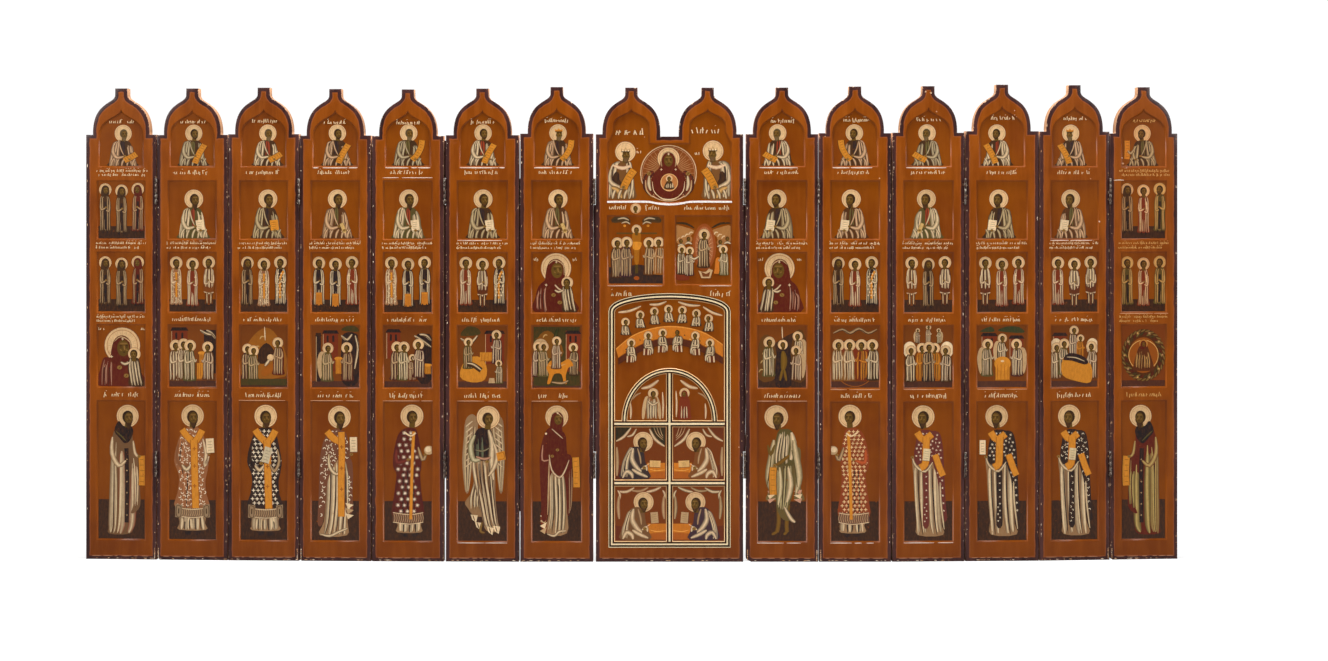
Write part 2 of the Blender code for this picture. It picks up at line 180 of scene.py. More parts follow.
def sunken_fields(leaf):
    """The outlines of the gouged fields."""
    sill = leaf.sill
    if not leaf.wide:
        half = leaf.width / 2 - FIELD_MARGIN
        fields = [rectangle(-half, half, low, high) for low, high in ROWS]
        head = pointed(0, TOP_FIELD_HALF, sill - 3, sill + TOP_FIELD_APEX)
        feet = [Vector((side * TOP_FIELD_HALF, TOP_FIELD_LOW)) for side in (-1, 1)]
        return fields + [feet + head]
    half, crest, shoulder = leaf.width / 2 - WIDE_FIELD_MARGIN, sill - 7, sill + 4.7
    head = pointed(DOME_OFFSET, 15, shoulder, sill + TOP_FIELD_APEX)
    bulge = []
    for step in range(9):
        angle = radians(195 + 150 * step / 8)
        bulge.append(Vector((BULGE_HALF * cos(angle), WIDE_TOP_LOW + BULGE_DROP * sin(angle))))
    right = [Vector((half, WIDE_TOP_LOW)), Vector((half, crest)), Vector((head[0].x, shoulder - 3))] + head
    right += [Vector((DOME_OFFSET - 15, crest))]
    top = bulge + right + [Vector((-point.x, point.y)) for point in reversed(right)]
    sides = ((-half, -SCENE_HALF_GAP), (SCENE_HALF_GAP, half))
    return [top] + [rectangle(left, right, SCENES_LOW, SCENES_HIGH) for left, right in sides]


def door_panels():
    """The shallow panels of the painted doors: four squares, two under the arch and the head over it."""
    panels, low, near = [], DOOR_LOW, DOOR_BAR / 2
    for height in DOOR_CELLS:
        for left, right in ((-DOOR_HALF, -near), (near, DOOR_HALF)):
            panels.append(rectangle(left, right, low, low + height))
        low += height + DOOR_BAR

    def arc(wide, foot, tall, end, steps):
        turn = [end * step / steps for step in range(steps + 1)]
        return [Vector((wide * cos(angle), foot + tall * sin(angle))) for angle in turn]

    quarter = [Vector((near, low))] + arc(ARCH_HALF, low, ARCH_HEIGHT, math.acos(near / ARCH_HALF), 12)
    mirrored = [Vector((-point.x, point.y)) for point in reversed(quarter)]
    around = arc(-ARCH_HALF - ARCH_BAND, low, ARCH_HEIGHT + ARCH_BAND, pi, 24)
    top = arc(DOOR_HALF, low + HEAD_FOOT, HEAD_RISE, pi, 24)
    head = around + [Vector((DOOR_HALF, low))] + top + [Vector((-DOOR_HALF, low))]
    return panels + [quarter, mirrored, head]


LAYERS = ("edge_mm", "sunk", "line")


def add_loop(work, points, depth, distance, sunk, layers):
    ring = []
    for point in points:
        vertex = work.verts.new((point.x, depth - THICKNESS / 2, point.y))
        vertex[layers[0]], vertex[layers[1]] = distance, sunk
        ring.append(vertex)
    return ring


def join(work, first, second, slot):
    """Faces between two rings of the same count."""
    for n in range(len(first)):
        face = work.faces.new((first[n - 1], first[n], second[n], second[n - 1]))
        face.material_index, face.smooth = slot, True


def closed_edges(work, ring):
    pairs = [(ring[n - 1], ring[n]) for n in range(len(ring))]
    return [work.edges.get(pair) or work.edges.new(pair) for pair in pairs]


def fill(work, edges, facing):
    """Triangles between closed edges, facing the back (1) or the front (-1)."""
    return bmesh.ops.triangle_fill(work, use_beauty=True, edges=edges, normal=(0, facing, 0))["geom"]


def board_mesh(leaf):
    """The board from its rings: a rounded rim, the flat front with its sunken fields, and the back."""
    work = bmesh.new()
    layers = [work.verts.layers.float.new(name) for name in LAYERS]
    outline = board_outline(leaf)
    rim = [(EDGE_REACH, 0), (0.6, 0), (0.2, 0.07), (0.05, 0.24), (0, 0.5)]
    rings = [add_loop(work, inset(outline, back), depth, back, 0, layers) for back, depth in rim]
    for first, second in zip(rings, rings[1:]):
        join(work, first, second, 0)
    sides = [rings[-1]]
    for back, depth in ((0, THICKNESS - 0.5), (0.15, THICKNESS - 0.15), (0.5, THICKNESS)):
        sides.append(add_loop(work, inset(outline, back), depth, 9, 0, layers))
        join(work, sides[-2], sides[-1], 1)
    for face in fill(work, closed_edges(work, sides[-1]), 1):
        if isinstance(face, bmesh.types.BMFace):
            face.material_index = 1
    front_edges = closed_edges(work, rings[0])
    gouged = [(outline, FIELD_DEPTH) for outline in sunken_fields(leaf)]
    if leaf.wide:
        gouged += [(outline, PANEL_DEPTH) for outline in door_panels()]
    for outline, depth in gouged:
        slope = [(-0.2, 0, 0), (0, 0.06, 0.2), (0.12, 0.2, 0.5), (0.62 * depth, 0.82 * depth, 0.8)]
        slope += [(0.78 * depth, 0.95 * depth, 1), (depth, depth, 1)]
        lip = [add_loop(work, inset(outline, back), down, 9, sunk, layers) for back, down, sunk in slope]
        for vertex in sum(lip[2:-1], []) if depth == PANEL_DEPTH else []:
            vertex[layers[2]] = 1
        for first, second in zip(lip, lip[1:]):
            join(work, first, second, 0)
        front_edges += closed_edges(work, lip[0])
        fill(work, closed_edges(work, lip[-1]), -1)
    fill(work, front_edges, -1)
    bmesh.ops.recalc_face_normals(work, faces=work.faces)
    mesh = bpy.data.meshes.new("board_" + name_of(leaf.number))
    work.to_mesh(mesh)
    work.free()
    return mesh


class Wire:
    """A shader socket that takes part in sums: arithmetic on values adds Math nodes."""

    def __init__(self, tree, socket):
        self.tree, self.socket = tree, socket

    def node(self, kind, settings=None, output=0, **sockets):
        """Add a node: its settings first, then the values or links of its sockets (i6 is input number 6)."""
        return add_node(self.tree, kind, settings, output, **sockets)

    def math(self, operation, first, second=0, third=0, clamp=False):
        settings = {"operation": operation, "use_clamp": clamp}
        return self.node("ShaderNodeMath", settings, i0=first, i1=second, i2=third)

    def __add__(self, other):
        return self.math("ADD", self, other)

    __radd__ = __add__

    def __sub__(self, other):
        return self.math("SUBTRACT", self, other)

    def __rsub__(self, other):
        return self.math("SUBTRACT", other, self)

    def __mul__(self, other):
        return self.math("MULTIPLY", self, other)

    __rmul__ = __mul__

    def rising(self, low, high):
        """0 below low, 1 above high, and a straight ramp between them."""
        return self.math("MULTIPLY_ADD", self, 1 / (high - low), -low / (high - low), clamp=True)


def add_node(tree, kind, settings=None, output=0, **sockets):
    node = tree.nodes.new(kind)
    for key, value in (settings or {}).items():
        setattr(node, key, value)
    for key, value in sockets.items():
        socket = node.inputs[int(key[1:])] if key[1:].isdigit() else node.inputs[key.replace("_", " ")]
        if isinstance(value, Wire):
            tree.links.new(value.socket, socket)
        elif isinstance(value, tuple) and socket.type == "RGBA":
            socket.default_value = (*value, 1)
        else:
            socket.default_value = value
    return Wire(tree, node.outputs[output])


def new_finish(name, **steady):
    """A material with its Principled shader, whose steady values are set on it."""
    material = bpy.data.materials.new(name)
    material.use_nodes = True
    shader = material.node_tree.nodes["Principled BSDF"]
    for key, value in steady.items():
        shader.inputs[key.replace("_", " ")].default_value = value
    return material, shader, Wire(material.node_tree, None)


def feed(wire, shader, **sockets):
    for key, value in sockets.items():
        wire.tree.links.new(value.socket, shader.inputs[key.replace("_", " ")])


def mix(wire, mask, first, second):
    return wire.node("ShaderNodeMix", {"data_type": "RGBA"}, 2, i0=mask, i6=first, i7=second)


def place_in(wire, scale=(1, 1, 1)):
    """Object coordinates in metres, stretched."""
    where = wire.node("ShaderNodeTexCoord", output=3)
    return wire.node("ShaderNodeVectorMath", {"operation": "MULTIPLY"}, i0=where, i1=scale)


def mottle(wire, where, scale, detail=3, roughness=0.6):
    settings = {"Scale": scale, "Detail": detail, "Roughness": roughness}
    return wire.node("ShaderNodeTexNoise", Vector=where, **settings)


def srgb(red, green, blue):
    """A colour as the eye reads it, 0 to 255, in the shader's terms."""
    parts = (part / 255 for part in (red, green, blue))
    return tuple(((part + 0.055) / 1.055) ** 2.4 if part > 0.04 else part / 12.92 for part in parts)


GROUND, GROUND_DEEP, GROUND_PALE = srgb(150, 74, 6), srgb(116, 52, 4), srgb(168, 90, 26)
FLOOR, BORDER = srgb(126, 64, 4), srgb(46, 26, 26)
BARE_WOOD = srgb(226, 186, 150)


def painted_finish():
    """Warm brown ground under oil varnish, a dark painted border, and bare wood where the edge is worn."""
    material, shader, wire = new_finish("painted_ground", Coat_Roughness=0.16, Specular_IOR_Level=0.12)
    where = place_in(wire)
    streaks = mottle(wire, place_in(wire, (1, 1, 0.12)), 160, 4)
    clouds = mottle(wire, where, 22, 3)
    grain = mottle(wire, where, 900, 2)
    edge, sunk, line = [wire.node("ShaderNodeAttribute", {"attribute_name": name}, 2) for name in LAYERS]
    colour = mix(wire, clouds.rising(0.35, 0.65) * 0.7, GROUND, GROUND_DEEP)
    colour = mix(wire, streaks.rising(0.45, 0.75) * 0.6, colour, GROUND_PALE)
    colour = mix(wire, sunk * 0.5, colour, mix(wire, clouds.rising(0.4, 0.7), FLOOR, GROUND_DEEP))
    colour = mix(wire, grain.rising(0.58, 0.8) * 0.35, colour, GROUND_DEEP)
    height = wire.node("ShaderNodeSeparateXYZ", None, 2, i0=where)
    colour = mix(wire, (1 - height.rising(0, 0.16)) * 0.45, colour, srgb(88, 38, 2))
    colour = mix(wire, line.rising(0.2, 0.6), colour, srgb(214, 172, 118))
    wander = mottle(wire, where, 130, 3) * 1.6 + edge - 0.8
    band = 1 - wander.rising(2.7, 3.05)
    colour = mix(wire, band, colour, mix(wire, streaks.rising(0.3, 0.7), BORDER, srgb(84, 50, 46)))
    beside = wander.rising(3, 3.3) * (1 - wander.rising(3.3, 3.9))
    colour = mix(wire, beside * 0.35, colour, srgb(176, 104, 78))
    knocks = mottle(wire, where, 420, 2, 0.7)
    worn = (1 - edge.rising(0.1, 1)) * knocks.rising(0.62, 0.68)
    colour = mix(wire, worn, colour, BARE_WOOD)
    fine = wire.node("ShaderNodeTexVoronoi", {"feature": "DISTANCE_TO_EDGE"}, 0, Vector=where, Scale=420)
    height = streaks * 0.5 + clouds * 0.6 + grain * 0.16 + fine.rising(0, 0.04) * 0.05
    bump = wire.node("ShaderNodeBump", None, 0, Strength=0.35, Distance=0.0004, Height=height)
    feed(wire, shader, Base_Color=colour, Roughness=clouds * 0.12 + worn * 0.3 + 0.3,
         Coat_Weight=0.2 - worn * 0.2 + clouds * 0.1, Normal=bump)
    return material


def bare_finish():
    """Bare wood of the sides and backs: straight grain along the leaf, with darker stains here and there."""
    material, shader, wire = new_finish("bare_wood", Roughness=0.72, Specular_IOR_Level=0.3)
    where = place_in(wire)
    rings = mottle(wire, place_in(wire, (1, 1, 0.05)), 260, 5, 0.65)
    pores = mottle(wire, place_in(wire, (1, 1, 0.03)), 1500, 2)
    stain = mottle(wire, where, 14, 4)
    colour = mix(wire, rings.rising(0.35, 0.7), srgb(200, 154, 118), srgb(168, 120, 84))
    colour = mix(wire, stain.rising(0.4, 0.75) * 0.6, colour, srgb(134, 92, 62))
    colour = mix(wire, pores.rising(0.6, 0.75) * 0.5, colour, srgb(120, 82, 56))
    height = rings * 0.7 + pores * 0.3
    bump = wire.node("ShaderNodeBump", None, 0, Strength=0.4, Distance=0.0003, Height=height)
    feed(wire, shader, Base_Color=colour, Normal=bump)
    return material


leaves = {number: Leaf(number) for number in range(1, 15)}
painted, bare = painted_finish(), bare_finish()
for number, leaf in leaves.items():
    board = leaf.finish("board_" + name_of(number), board_mesh(leaf), painted, bare)
    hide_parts(name_of(number))

# ---- The paints and the painter's marks
# Egg tempera on the ground: haloes, robes in a dark tone with cream folds laid over it, orange scrolls and
# stoles, and fine writing of strokes that are no letters. Each coat is a flat area a few microns thick.
FIRST_COAT, COAT = 0.015, 0.0025
HALO, HALO_LINE = srgb(228, 186, 134), srgb(180, 122, 74)
SKIN, PALE_SKIN, HAIR = srgb(96, 70, 24), srgb(142, 104, 50), srgb(52, 34, 18)
CREAM, STRAW, SHADE = srgb(238, 206, 160), srgb(196, 158, 112), srgb(66, 44, 26)
ORANGE, TAWNY = srgb(214, 136, 42), srgb(160, 86, 22)
EARTH, WINE, RUST, NIGHT = srgb(56, 36, 26), srgb(92, 30, 20), srgb(120, 46, 24), srgb(38, 30, 30)
OLIVE, PINK, SAND = srgb(84, 74, 38), srgb(206, 150, 118), srgb(214, 172, 104)
LINEN, FOLD = srgb(156, 118, 80), srgb(106, 72, 46)


def flowing(points, closed=False, steps=3):
    """A smooth line through points."""
    points, count, line = [Vector(point) for point in points], len(points), []
    for n in range(count if closed else count - 1):
        before = points[n - 1] if closed or n else points[n]
        here, there = points[n], points[(n + 1) % count]
        after = points[(n + 2) % count] if closed or n + 2 < count else there
        for step in range(steps):
            t = step / steps
            bend, twist = 2 * before - 5 * here + 4 * there - after, 3 * here - before - 3 * there + after
            line.append((2 * here + (there - before) * t + bend * t * t + twist * t ** 3) / 2)
    return line if closed else line + [points[-1]]


def lighter(tint, share):
    return tuple(part * share for part in tint)


def between(first, second, share):
    return tuple(a + (b - a) * share for a, b in zip(first, second))


def near(x, z, size, *points):
    """Points measured from a place, in parts of a size."""
    return [(x + size * across, z + size * up) for across, up in points]


def turned(side, *points):
    """Points for the right side, or the same for the left side."""
    return [(side * x, z) for x, z in points]


SMALL_DRESS = {
    "monk": (SHADE, STRAW, "band"), "abbess": (WINE, STRAW, "band"), "martyr": (RUST, CREAM, "cross"),
    "bishop": (NIGHT, CREAM, "stole"), "brocade": (srgb(150, 98, 62), CREAM, "curls"),
    "pilgrim": (srgb(118, 62, 24), CREAM, "tunic"), "writer": (NIGHT, CREAM, "table"),
    "soldier": (srgb(92, 46, 26), CREAM, "tunic"), "prince": (OLIVE, SAND, "band"),
}
BEARDLESS = ("abbess", "soldier", "martyr")
SCROLLS = {
    "scroll": ([(9.5, 21), (6, 15), (3, 8.5), (1, 3)], 5.2),
    "tall scroll": ([(11.5, 25), (10.5, 18), (7, 10.5), (3, 6)], 5),
    "low scroll": ([(11.5, 12), (6.5, 8.6), (1, 5.6)], 5.4),
    "hanging scroll": ([(13.2, 25), (13, 17), (13.4, 7)], 4.8),
    "roll": ([(3.2, 12.5), (6.2, 5)], 3, SAND),
}


class Painting:
    """Coats of paint on one leaf, placed in mm from the leaf's middle and lower edge."""

    def __init__(self, leaf):
        self.leaf, self.chance = leaf, random.Random(700 + leaf.number)
        self.points, self.tints, self.faces, self.flat = [], [], [], False
        self.on(FIELD_DEPTH)

    def vary(self, low, high):
        return self.chance.uniform(low, high)

    def on(self, depth, *spot):
        """Paint from now on lies on a surface that is this deep behind the front."""
        self.depth, self.coats = depth, 0
        self.at(*spot)

    def at(self, x=0, z=0, size=1, facing=1, aged=1):
        """Marks from now on are measured from this spot of the leaf, and turned if facing is -1."""
        self.spot = x, z, size, facing
        self.aged, self.broad = aged, 1

    def one_coat(self, flat):
        """Marks that don't overlap share one coat."""
        self.coats += 1
        self.flat = flat

    def put(self, outlines, tints):
        x, z, size, facing = self.spot
        self.coats += 0 if self.flat else 1
        y = self.depth - THICKNESS / 2 - FIRST_COAT - COAT * self.coats
        start = len(self.points)
        for (px, pz), tint in zip(outlines, tints):
            self.points.append((x + facing * size * self.broad * px, y, z + size * pz))
            self.tints.append(tuple(part * a for part, a in zip(tint, (1, self.aged, self.aged ** 2))))
        return start

    def area(self, outline, tint, smooth=False):
        outline = flowing(outline, True) if smooth else outline
        tint = lighter(tint, self.vary(0.9, 1.1))
        start = self.put(outline, [tint] * len(outline))
        self.faces.append(range(start, len(self.points)))

    def stroke(self, path, width, tint, edge=None, blunt=False):
        """A brush stroke, widest in its middle, whose sides may melt into another tint."""
        path = flowing(path)
        count = len(path)
        rails, tints = [], []
        for n, here in enumerate(path):
            ahead = path[min(n + 1, count - 1)] - path[max(n - 1, 0)]
            ahead = ahead.normalized() if ahead.length else Vector((1, 0))
            half = width / 2 * (1 if blunt else (0.12 + sin(pi * (n + 0.3) / (count - 0.4)) ** 0.6))
            side = Vector((-ahead.y, ahead.x)) * half
            rails += [here + side, here, here - side]
            tints += [edge or tint, tint, edge or tint]
        start = self.put(rails, tints)
        for n in range(start, start + 3 * (count - 1), 3):
            self.faces += [(n, n + 1, n + 4, n + 3), (n + 1, n + 2, n + 5, n + 4)]

    def bar(self, path, width, tint, edge=None):
        """A stroke of one width with square ends."""
        self.stroke(path, width, tint, edge, True)

    def light(self, path, width):
        """A cream fold that melts into the shade."""
        self.stroke(path, width, CREAM, SHADE)

    def ribbon(self, first, second, tint, closed=False):
        """A flat band between two lines."""
        start, count = self.put(list(first) + list(second), [tint] * (2 * len(first))), len(first)
        for n in range(count if closed else count - 1):
            after = (n + 1) % count
            self.faces.append((start + n, start + after, start + count + after, start + count + n))

    def disc(self, x, z, wide, tall, tint, sides=28):
        turn = [2 * pi * n / sides for n in range(sides)]
        self.area([(x + wide * cos(a), z + tall * sin(a)) for a in turn], tint)

    def ring(self, x, z, radius, width, tint, start=0, end=360):
        arc = [radians(start + (end - start) * n / 24) for n in range(25)]
        self.bar([(x + radius * cos(a), z + radius * sin(a)) for a in arc], width, tint)

    def robe(self, rows, tint):
        """A robe from rows of (height, left, right), top down."""
        outline = [(left, z) for z, left, right in rows] + [(right, z) for z, left, right in reversed(rows)]
        self.area(outline, tint, smooth=True)

    def folds(self, rows, first, last, count, light, edge=None, fill=0.62, drift=0):
        """Strokes of light down a share of a robe's width."""
        middle = rows[len(rows) // 2]
        room, turn = (middle[2] - middle[1]) * abs(last - first) / count, None
        for n in sorted(range(2 * count), key=lambda n: (n >= count, n % 2)):
            broad = n < count
            across = first + (last - first) * (n % count + self.vary(0.2, 0.8)) / count
            sway = self.vary(-0.35, 0.35) * (last - first) / count
            path = []
            for step, (z, left, right) in enumerate(rows):
                share = across + (drift + sway) * (step / len(rows) - 0.5) + self.vary(-0.02, 0.02)
                path.append((left + (right - left) * share, z))
            path[0] = tuple(a + (b - a) * self.vary(0, 0.7) for a, b in zip(path[0], path[1]))
            path[-1] = tuple(a + (b - a) * self.vary(0, 0.25) for a, b in zip(path[-1], path[-2]))
            if (n >= count, n % 2) != turn:
                turn = (n >= count, n % 2)
                self.one_coat(True)
            if broad:
                self.stroke(path, room * fill * self.vary(0.9, 1.7), lighter(light, 0.62), edge)
            else:
                self.stroke(path, room * fill * self.vary(0.25, 0.7), light, lighter(light, 0.6))
        self.one_coat(True)
        for n in range(1, count):
            across = first + (last - first) * (n + self.vary(-0.15, 0.15)) / count
            path = []
            for z, left, right in rows:
                path.append((left + (right - left) * (across + self.vary(-0.015, 0.015)), z))
            path[0] = tuple(a + (b - a) * self.vary(0.1, 0.9) for a, b in zip(path[0], path[1]))
            self.stroke(path, room * 0.2, NIGHT)
        self.one_coat(False)

    def pattern(self, rows, spacing, motif, tint, size):
        """Crosses, flowers or curls spread over a robe."""
        z, odd = rows[0][0] - spacing * 0.7, 0
        self.one_coat(True)
        while z > rows[-1][0] + spacing * 0.4:
            for (upper, l1, r1), (lower, l2, r2) in zip(rows, rows[1:]):
                if lower <= z <= upper:
                    share = (upper - z) / (upper - lower)
                    left, right = l1 + (l2 - l1) * share, r1 + (r2 - r1) * share
            x = left + spacing * (0.6 + 0.5 * (odd % 2))
            while x < right - spacing * 0.4:
                self.motif(x, z, motif, tint, size)
                x += spacing
            z -= spacing * 0.92
            odd += 1
        self.one_coat(False)

    def motif(self, x, z, kind, tint, s):
        if kind == "cross":
            t = s * 0.24
            self.area(near(x, z, 1, (-t, -s), (t, -s), (t, -t), (s, -t), (s, t), (t, t),
                           (t, s), (-t, s), (-t, t), (-s, t), (-s, -t), (-t, -t)), tint)
        elif kind == "flower":
            spin = self.vary(0, 0.6)
            turn = [spin + pi * n / 8 for n in range(16)]
            reach = [s if n % 2 else s * 0.28 for n in range(16)]
            self.area([(x + r * cos(a), z + r * sin(a)) for a, r in zip(turn, reach)], tint)
        else:
            spin = self.vary(0, 6.3)
            arc = [spin + 0.9 * n for n in range(5)]
            self.stroke([(x + s * cos(a), z + s * sin(a)) for a in arc], s * 0.55, tint)

    def halo(self, x, z, radius, tint=HALO):
        self.disc(x, z, radius * 1.05, radius * 1.05, srgb(120, 66, 34))
        self.disc(x, z, radius, radius, tint)
        self.ring(x, z, radius * 0.86, radius * 0.035, HALO_LINE)
        if radius > 6:
            self.one_coat(True)
            for n in range(36):
                a = radians(10 * n)
                inner, outer = radius * 0.62, radius * self.vary(0.78, 0.84)
                ends = [(x + r * cos(a), z + r * sin(a)) for r in (inner, outer)]
                self.stroke(ends, radius * 0.02, lighter(HALO, 0.8))
            self.one_coat(False)

    def head(self, x, z, r, turn=0.3, hair=HAIR, beard=0, crown=None, veil=None):
        """A plain face, turned a little, with brows, eyes, nose and mouth, its hair and its beard."""
        self.bar(near(x, z, r, (0, -0.6), (-0.1, -1.9)), 1.1 * r, SKIN)
        if veil:
            self.area(near(x, z, r, (-1.3, -1.9), (-1.25, 0.3), (-0.6, 1.35), (0.4, 1.4), (1.15, 0.4),
                           (0.9, -1.6)), veil, True)
        elif not crown:
            self.disc(x - 0.08 * r, z + 0.12 * r, 1.04 * r, 1.22 * r, hair, 18)
        if beard:
            self.area(near(x, z, r, (-0.75, -0.2), (0.85, -0.2), (0.7, -1.1), (0.15, -1.2 - beard),
                           (-0.45, -1.1)), hair, True)
        self.disc(x + turn * 0.3 * r, z - 0.06 * r, 0.76 * r, 1.02 * r, SKIN, 16)
        centre = x + turn * 0.45 * r
        self.stroke(near(centre, z, r, (-0.5, 0.5), (0.45, 0.5)), 0.3 * r, PALE_SKIN, SKIN)
        self.stroke(near(centre, z, r, (0.05, 0.25), (0.12, -0.3)), 0.16 * r, PALE_SKIN)
        for side in (-0.34, 0.38):
            eye = centre + side * r
            self.stroke(near(eye, z, r, (-0.18, 0.2), (0, 0.27), (0.18, 0.2)), 0.09 * r, HAIR)
            self.disc(eye, z + 0.07 * r, 0.11 * r, 0.07 * r, HAIR, 8)
            self.stroke(near(eye, z, r, (-0.15, -0.22), (0.12, -0.4)), 0.2 * r, PALE_SKIN, SKIN)
        self.stroke(near(centre, z, r, (-0.12, -0.55), (0.22, -0.55)), 0.1 * r, HAIR)
        for n in range(5 if beard else 0):
            lock = near(x, z, r, ((n - 1.8) * 0.26, -0.7), ((n - 2) * 0.1, -1 - 0.8 * beard))
            self.stroke(lock, 0.08 * r, lighter(hair, 2.2))
        if crown:
            self.area(near(x, z, r, (-0.95, 0.45), (0.95, 0.45), (1.05, 1.25), (0.4, 0.95), (0, 1.5),
                           (-0.4, 0.95), (-1.05, 1.25)), crown)
            self.bar(near(x, z, r, (-0.95, 0.5), (0.95, 0.5)), 0.22 * r, HAIR)
            self.bar(near(x, z, r, (-0.98, 0.8), (0.98, 0.8)), 0.12 * r, TAWNY)

    def hand(self, x, z, size=1.3):
        self.disc(x, z, size, size * 0.8, PALE_SKIN, 10)
        self.stroke([(x - 0.3 * size, z - 0.5 * size), (x + 0.4 * size, z + 0.5 * size)], 0.3 * size, SKIN)

    def book(self, x, z, wide, tall, lean=0, cover=CREAM):
        rise, back = lean * wide, lean * tall
        corners = [(x, z), (x + wide, z + rise), (x + wide - back, z + tall), (x - back, z + tall - rise)]
        self.area([(px - 0.25, pz - 0.3) for px, pz in corners], EARTH)
        self.area(corners, cover)
        for n in range(1, 5):
            first, second = (between(*pair, n / 5.2) for pair in ((corners[0], corners[3]), corners[1:3]))
            ends = [between(first, second, share) for share in (0.18, 0.8)]
            self.stroke(ends, tall * 0.035, lighter(cover, 0.45))

    def scroll(self, path, width, tint=ORANGE):
        """An open scroll with rows of strokes that are no letters."""
        self.bar(path, width * 1.15, EARTH)
        self.bar(path, width, tint, lighter(tint, 0.85))
        (x0, z0), (x1, z1) = path[0], path[-1]
        along_it = Vector((x1 - x0, z1 - z0))
        across = Vector((-along_it.y, along_it.x)).normalized() * width * 0.34
        count = max(3, int(along_it.length / (0.32 * width)))
        smooth = flowing(path)
        for n in range(1, count):
            here = smooth[int(n * (len(smooth) - 1) / count)]
            self.stroke([here - across, here + across * self.vary(0.2, 1)], width * 0.07, lighter(tint, 0.4))

    def stole(self, path, width, tint=ORANGE):
        self.bar(path, width * 1.18, TAWNY)
        self.bar(path, width, tint)

    def writing(self, x0, x1, z, tall, tint=CREAM, worn=0.12):
        """A row of fine upright and slanting strokes, with a few over the row, that are no letters."""
        x, tall = x0, tall * 1.12
        self.one_coat(True)
        while x < x1:
            if self.chance.random() > worn:
                lean, rise = self.vary(-0.25, 0.3) * tall, tall * self.chance.choice((0.55, 0.62, 0.7, 1))
                low = z - (0.25 * tall if self.chance.random() < 0.1 else 0)
                stem = [(x, low), (x + lean * 0.5, z + rise / 2), (x + lean, z + rise)]
                self.bar(stem, 0.12 * tall + 0.2, tint)
                if self.chance.random() < 0.45:
                    reach = self.vary(0.2, 0.45) * tall
                    at = z + rise * self.chance.choice((0.1, 0.5, 0.9))
                    self.bar([(x, at), (x + reach, at + 0.1 * tall)], 0.1 * tall + 0.1, tint)
                if self.chance.random() < 0.12:
                    self.bar([(x - 0.2, z + 1.25 * tall), (x + 0.7, z + 1.35 * tall)], 0.3, tint)
            x += tall * self.vary(0.32, 0.6) + (tall * 0.5 if self.chance.random() < 0.1 else 0)
        self.one_coat(False)

    def half_figure(self, robe=SHADE, cloak=CREAM, inner=NIGHT, hair=HAIR, beard=0.5, holds="scroll",
            crown=None, halo=7.6, broad=1):
        """A figure to the waist, 40 high, turned to the side that the painting faces."""
        rows = [(25, -5, 3.2), (22.5, -8.2, 6.4), (17, -9.6, 8), (10, -11, 9)]
        rows += [(4, -12.2, 11.2), (0.3, -12.6, 12.2)]
        self.halo(0, 32, halo)
        self.broad = broad
        self.robe(rows, robe)
        self.folds(rows, 0, 0.34, 3, cloak, robe, 0.95)
        self.folds(rows[:4], 0.42, 0.62, 2, lighter(inner, 2.4), inner, 0.6)
        self.folds(rows[1:], 0.74, 1, 2, cloak, robe, 0.9)
        for n in range(5):
            x = -10.5 + 4.6 * n
            self.stroke([(x, 0.5), (x + 0.8, 4.5), (x + 2.6, 7.5)], 2, cloak, robe)
        self.stroke([(-8, 21), (-8.8, 14), (-5.5, 8.5), (0.5, 9.5)], 3.6, cloak, robe)
        self.stroke([(8, 15), (7, 8), (3, 6)], 2.6, cloak, robe)
        self.stroke([(-3.5, 24), (-2, 17), (0.5, 11)], 1.3, cloak, robe)
        if holds in SCROLLS:
            self.scroll(*SCROLLS[holds])
        else:
            self.book(2.5, 6.5, 6.6, 9, 0.12, CREAM if holds == "book" else ORANGE)
        if holds == "hanging scroll":
            self.stroke([(7, 17), (10, 12.5), (12.6, 15.5)], 2.4, cloak, robe)
        self.hand(1.4, 10)
        self.hand(5.6, 6.8)
        self.broad = 1
        self.head(0.8, 31.4, 3.6, 0.35, hair, beard, crown)

    def small_figure(self, kind):
        """A standing figure 36 high, for the rows of three."""
        robe, cloak, extra = SMALL_DRESS[kind]
        low = -3 if extra == "tunic" else -5
        rows = [(27, -2.4, 2.2), (24.5, -4.4, 4), (18.5, -4.9, 4.8), (12, -4.4, 4.4)]
        rows += [(5, 0.94 * low, -0.92 * low), (0.8, low, -low)]
        self.halo(0, 30.8, 4.5, SAND if kind == "prince" else HALO)
        self.broad = 0.86
        self.robe(rows, robe)
        if extra == "tunic":
            self.folds(rows[:4], 0.08, 0.92, 3, cloak, robe, 0.7)
            self.stroke([(-4.2, 9.4), (0, 8.4), (4.2, 9.6)], 1.4, cloak, robe)
            for side in (-1.8, 1.7):
                self.bar([(side, 9), (side * 0.9, 1)], 2.2, robe, NIGHT)
                self.stroke([(side, 9), (side * 0.9, 1)], 0.9, STRAW)
        else:
            self.folds(rows, 0.02, 0.32, 2, cloak, robe, 0.75)
            self.folds(rows, 0.68, 0.98, 2, cloak, robe, 0.7)
            self.folds(rows[3:], 0.36, 0.62, 2, cloak, robe, 0.6)
        if extra == "band":
            self.bar([(0, 22), (0.3, 2)], 1.9, NIGHT)
        elif extra == "stole":
            self.stole([(-2.6, 24.5), (0, 19.5), (0.2, 5)], 1.6)
            self.pattern(rows[1:5], 2.4, "cross", CREAM, 0.7)
        elif extra == "curls":
            self.pattern(rows[1:], 2.2, "curl", CREAM, 0.7)
            self.stole([(0, 24), (0.2, 6)], 1.5)
        elif extra == "cross":
            self.bar([(2.6, 23), (2.6, 17.5)], 0.6, CREAM)
            self.bar([(1.5, 21.3), (3.8, 21.3)], 0.6, CREAM)
        if extra == "table":
            self.area([(-2.8, 0.4), (2.8, 0.4), (2.6, 9.6), (-2.6, 9.6)], srgb(196, 116, 36))
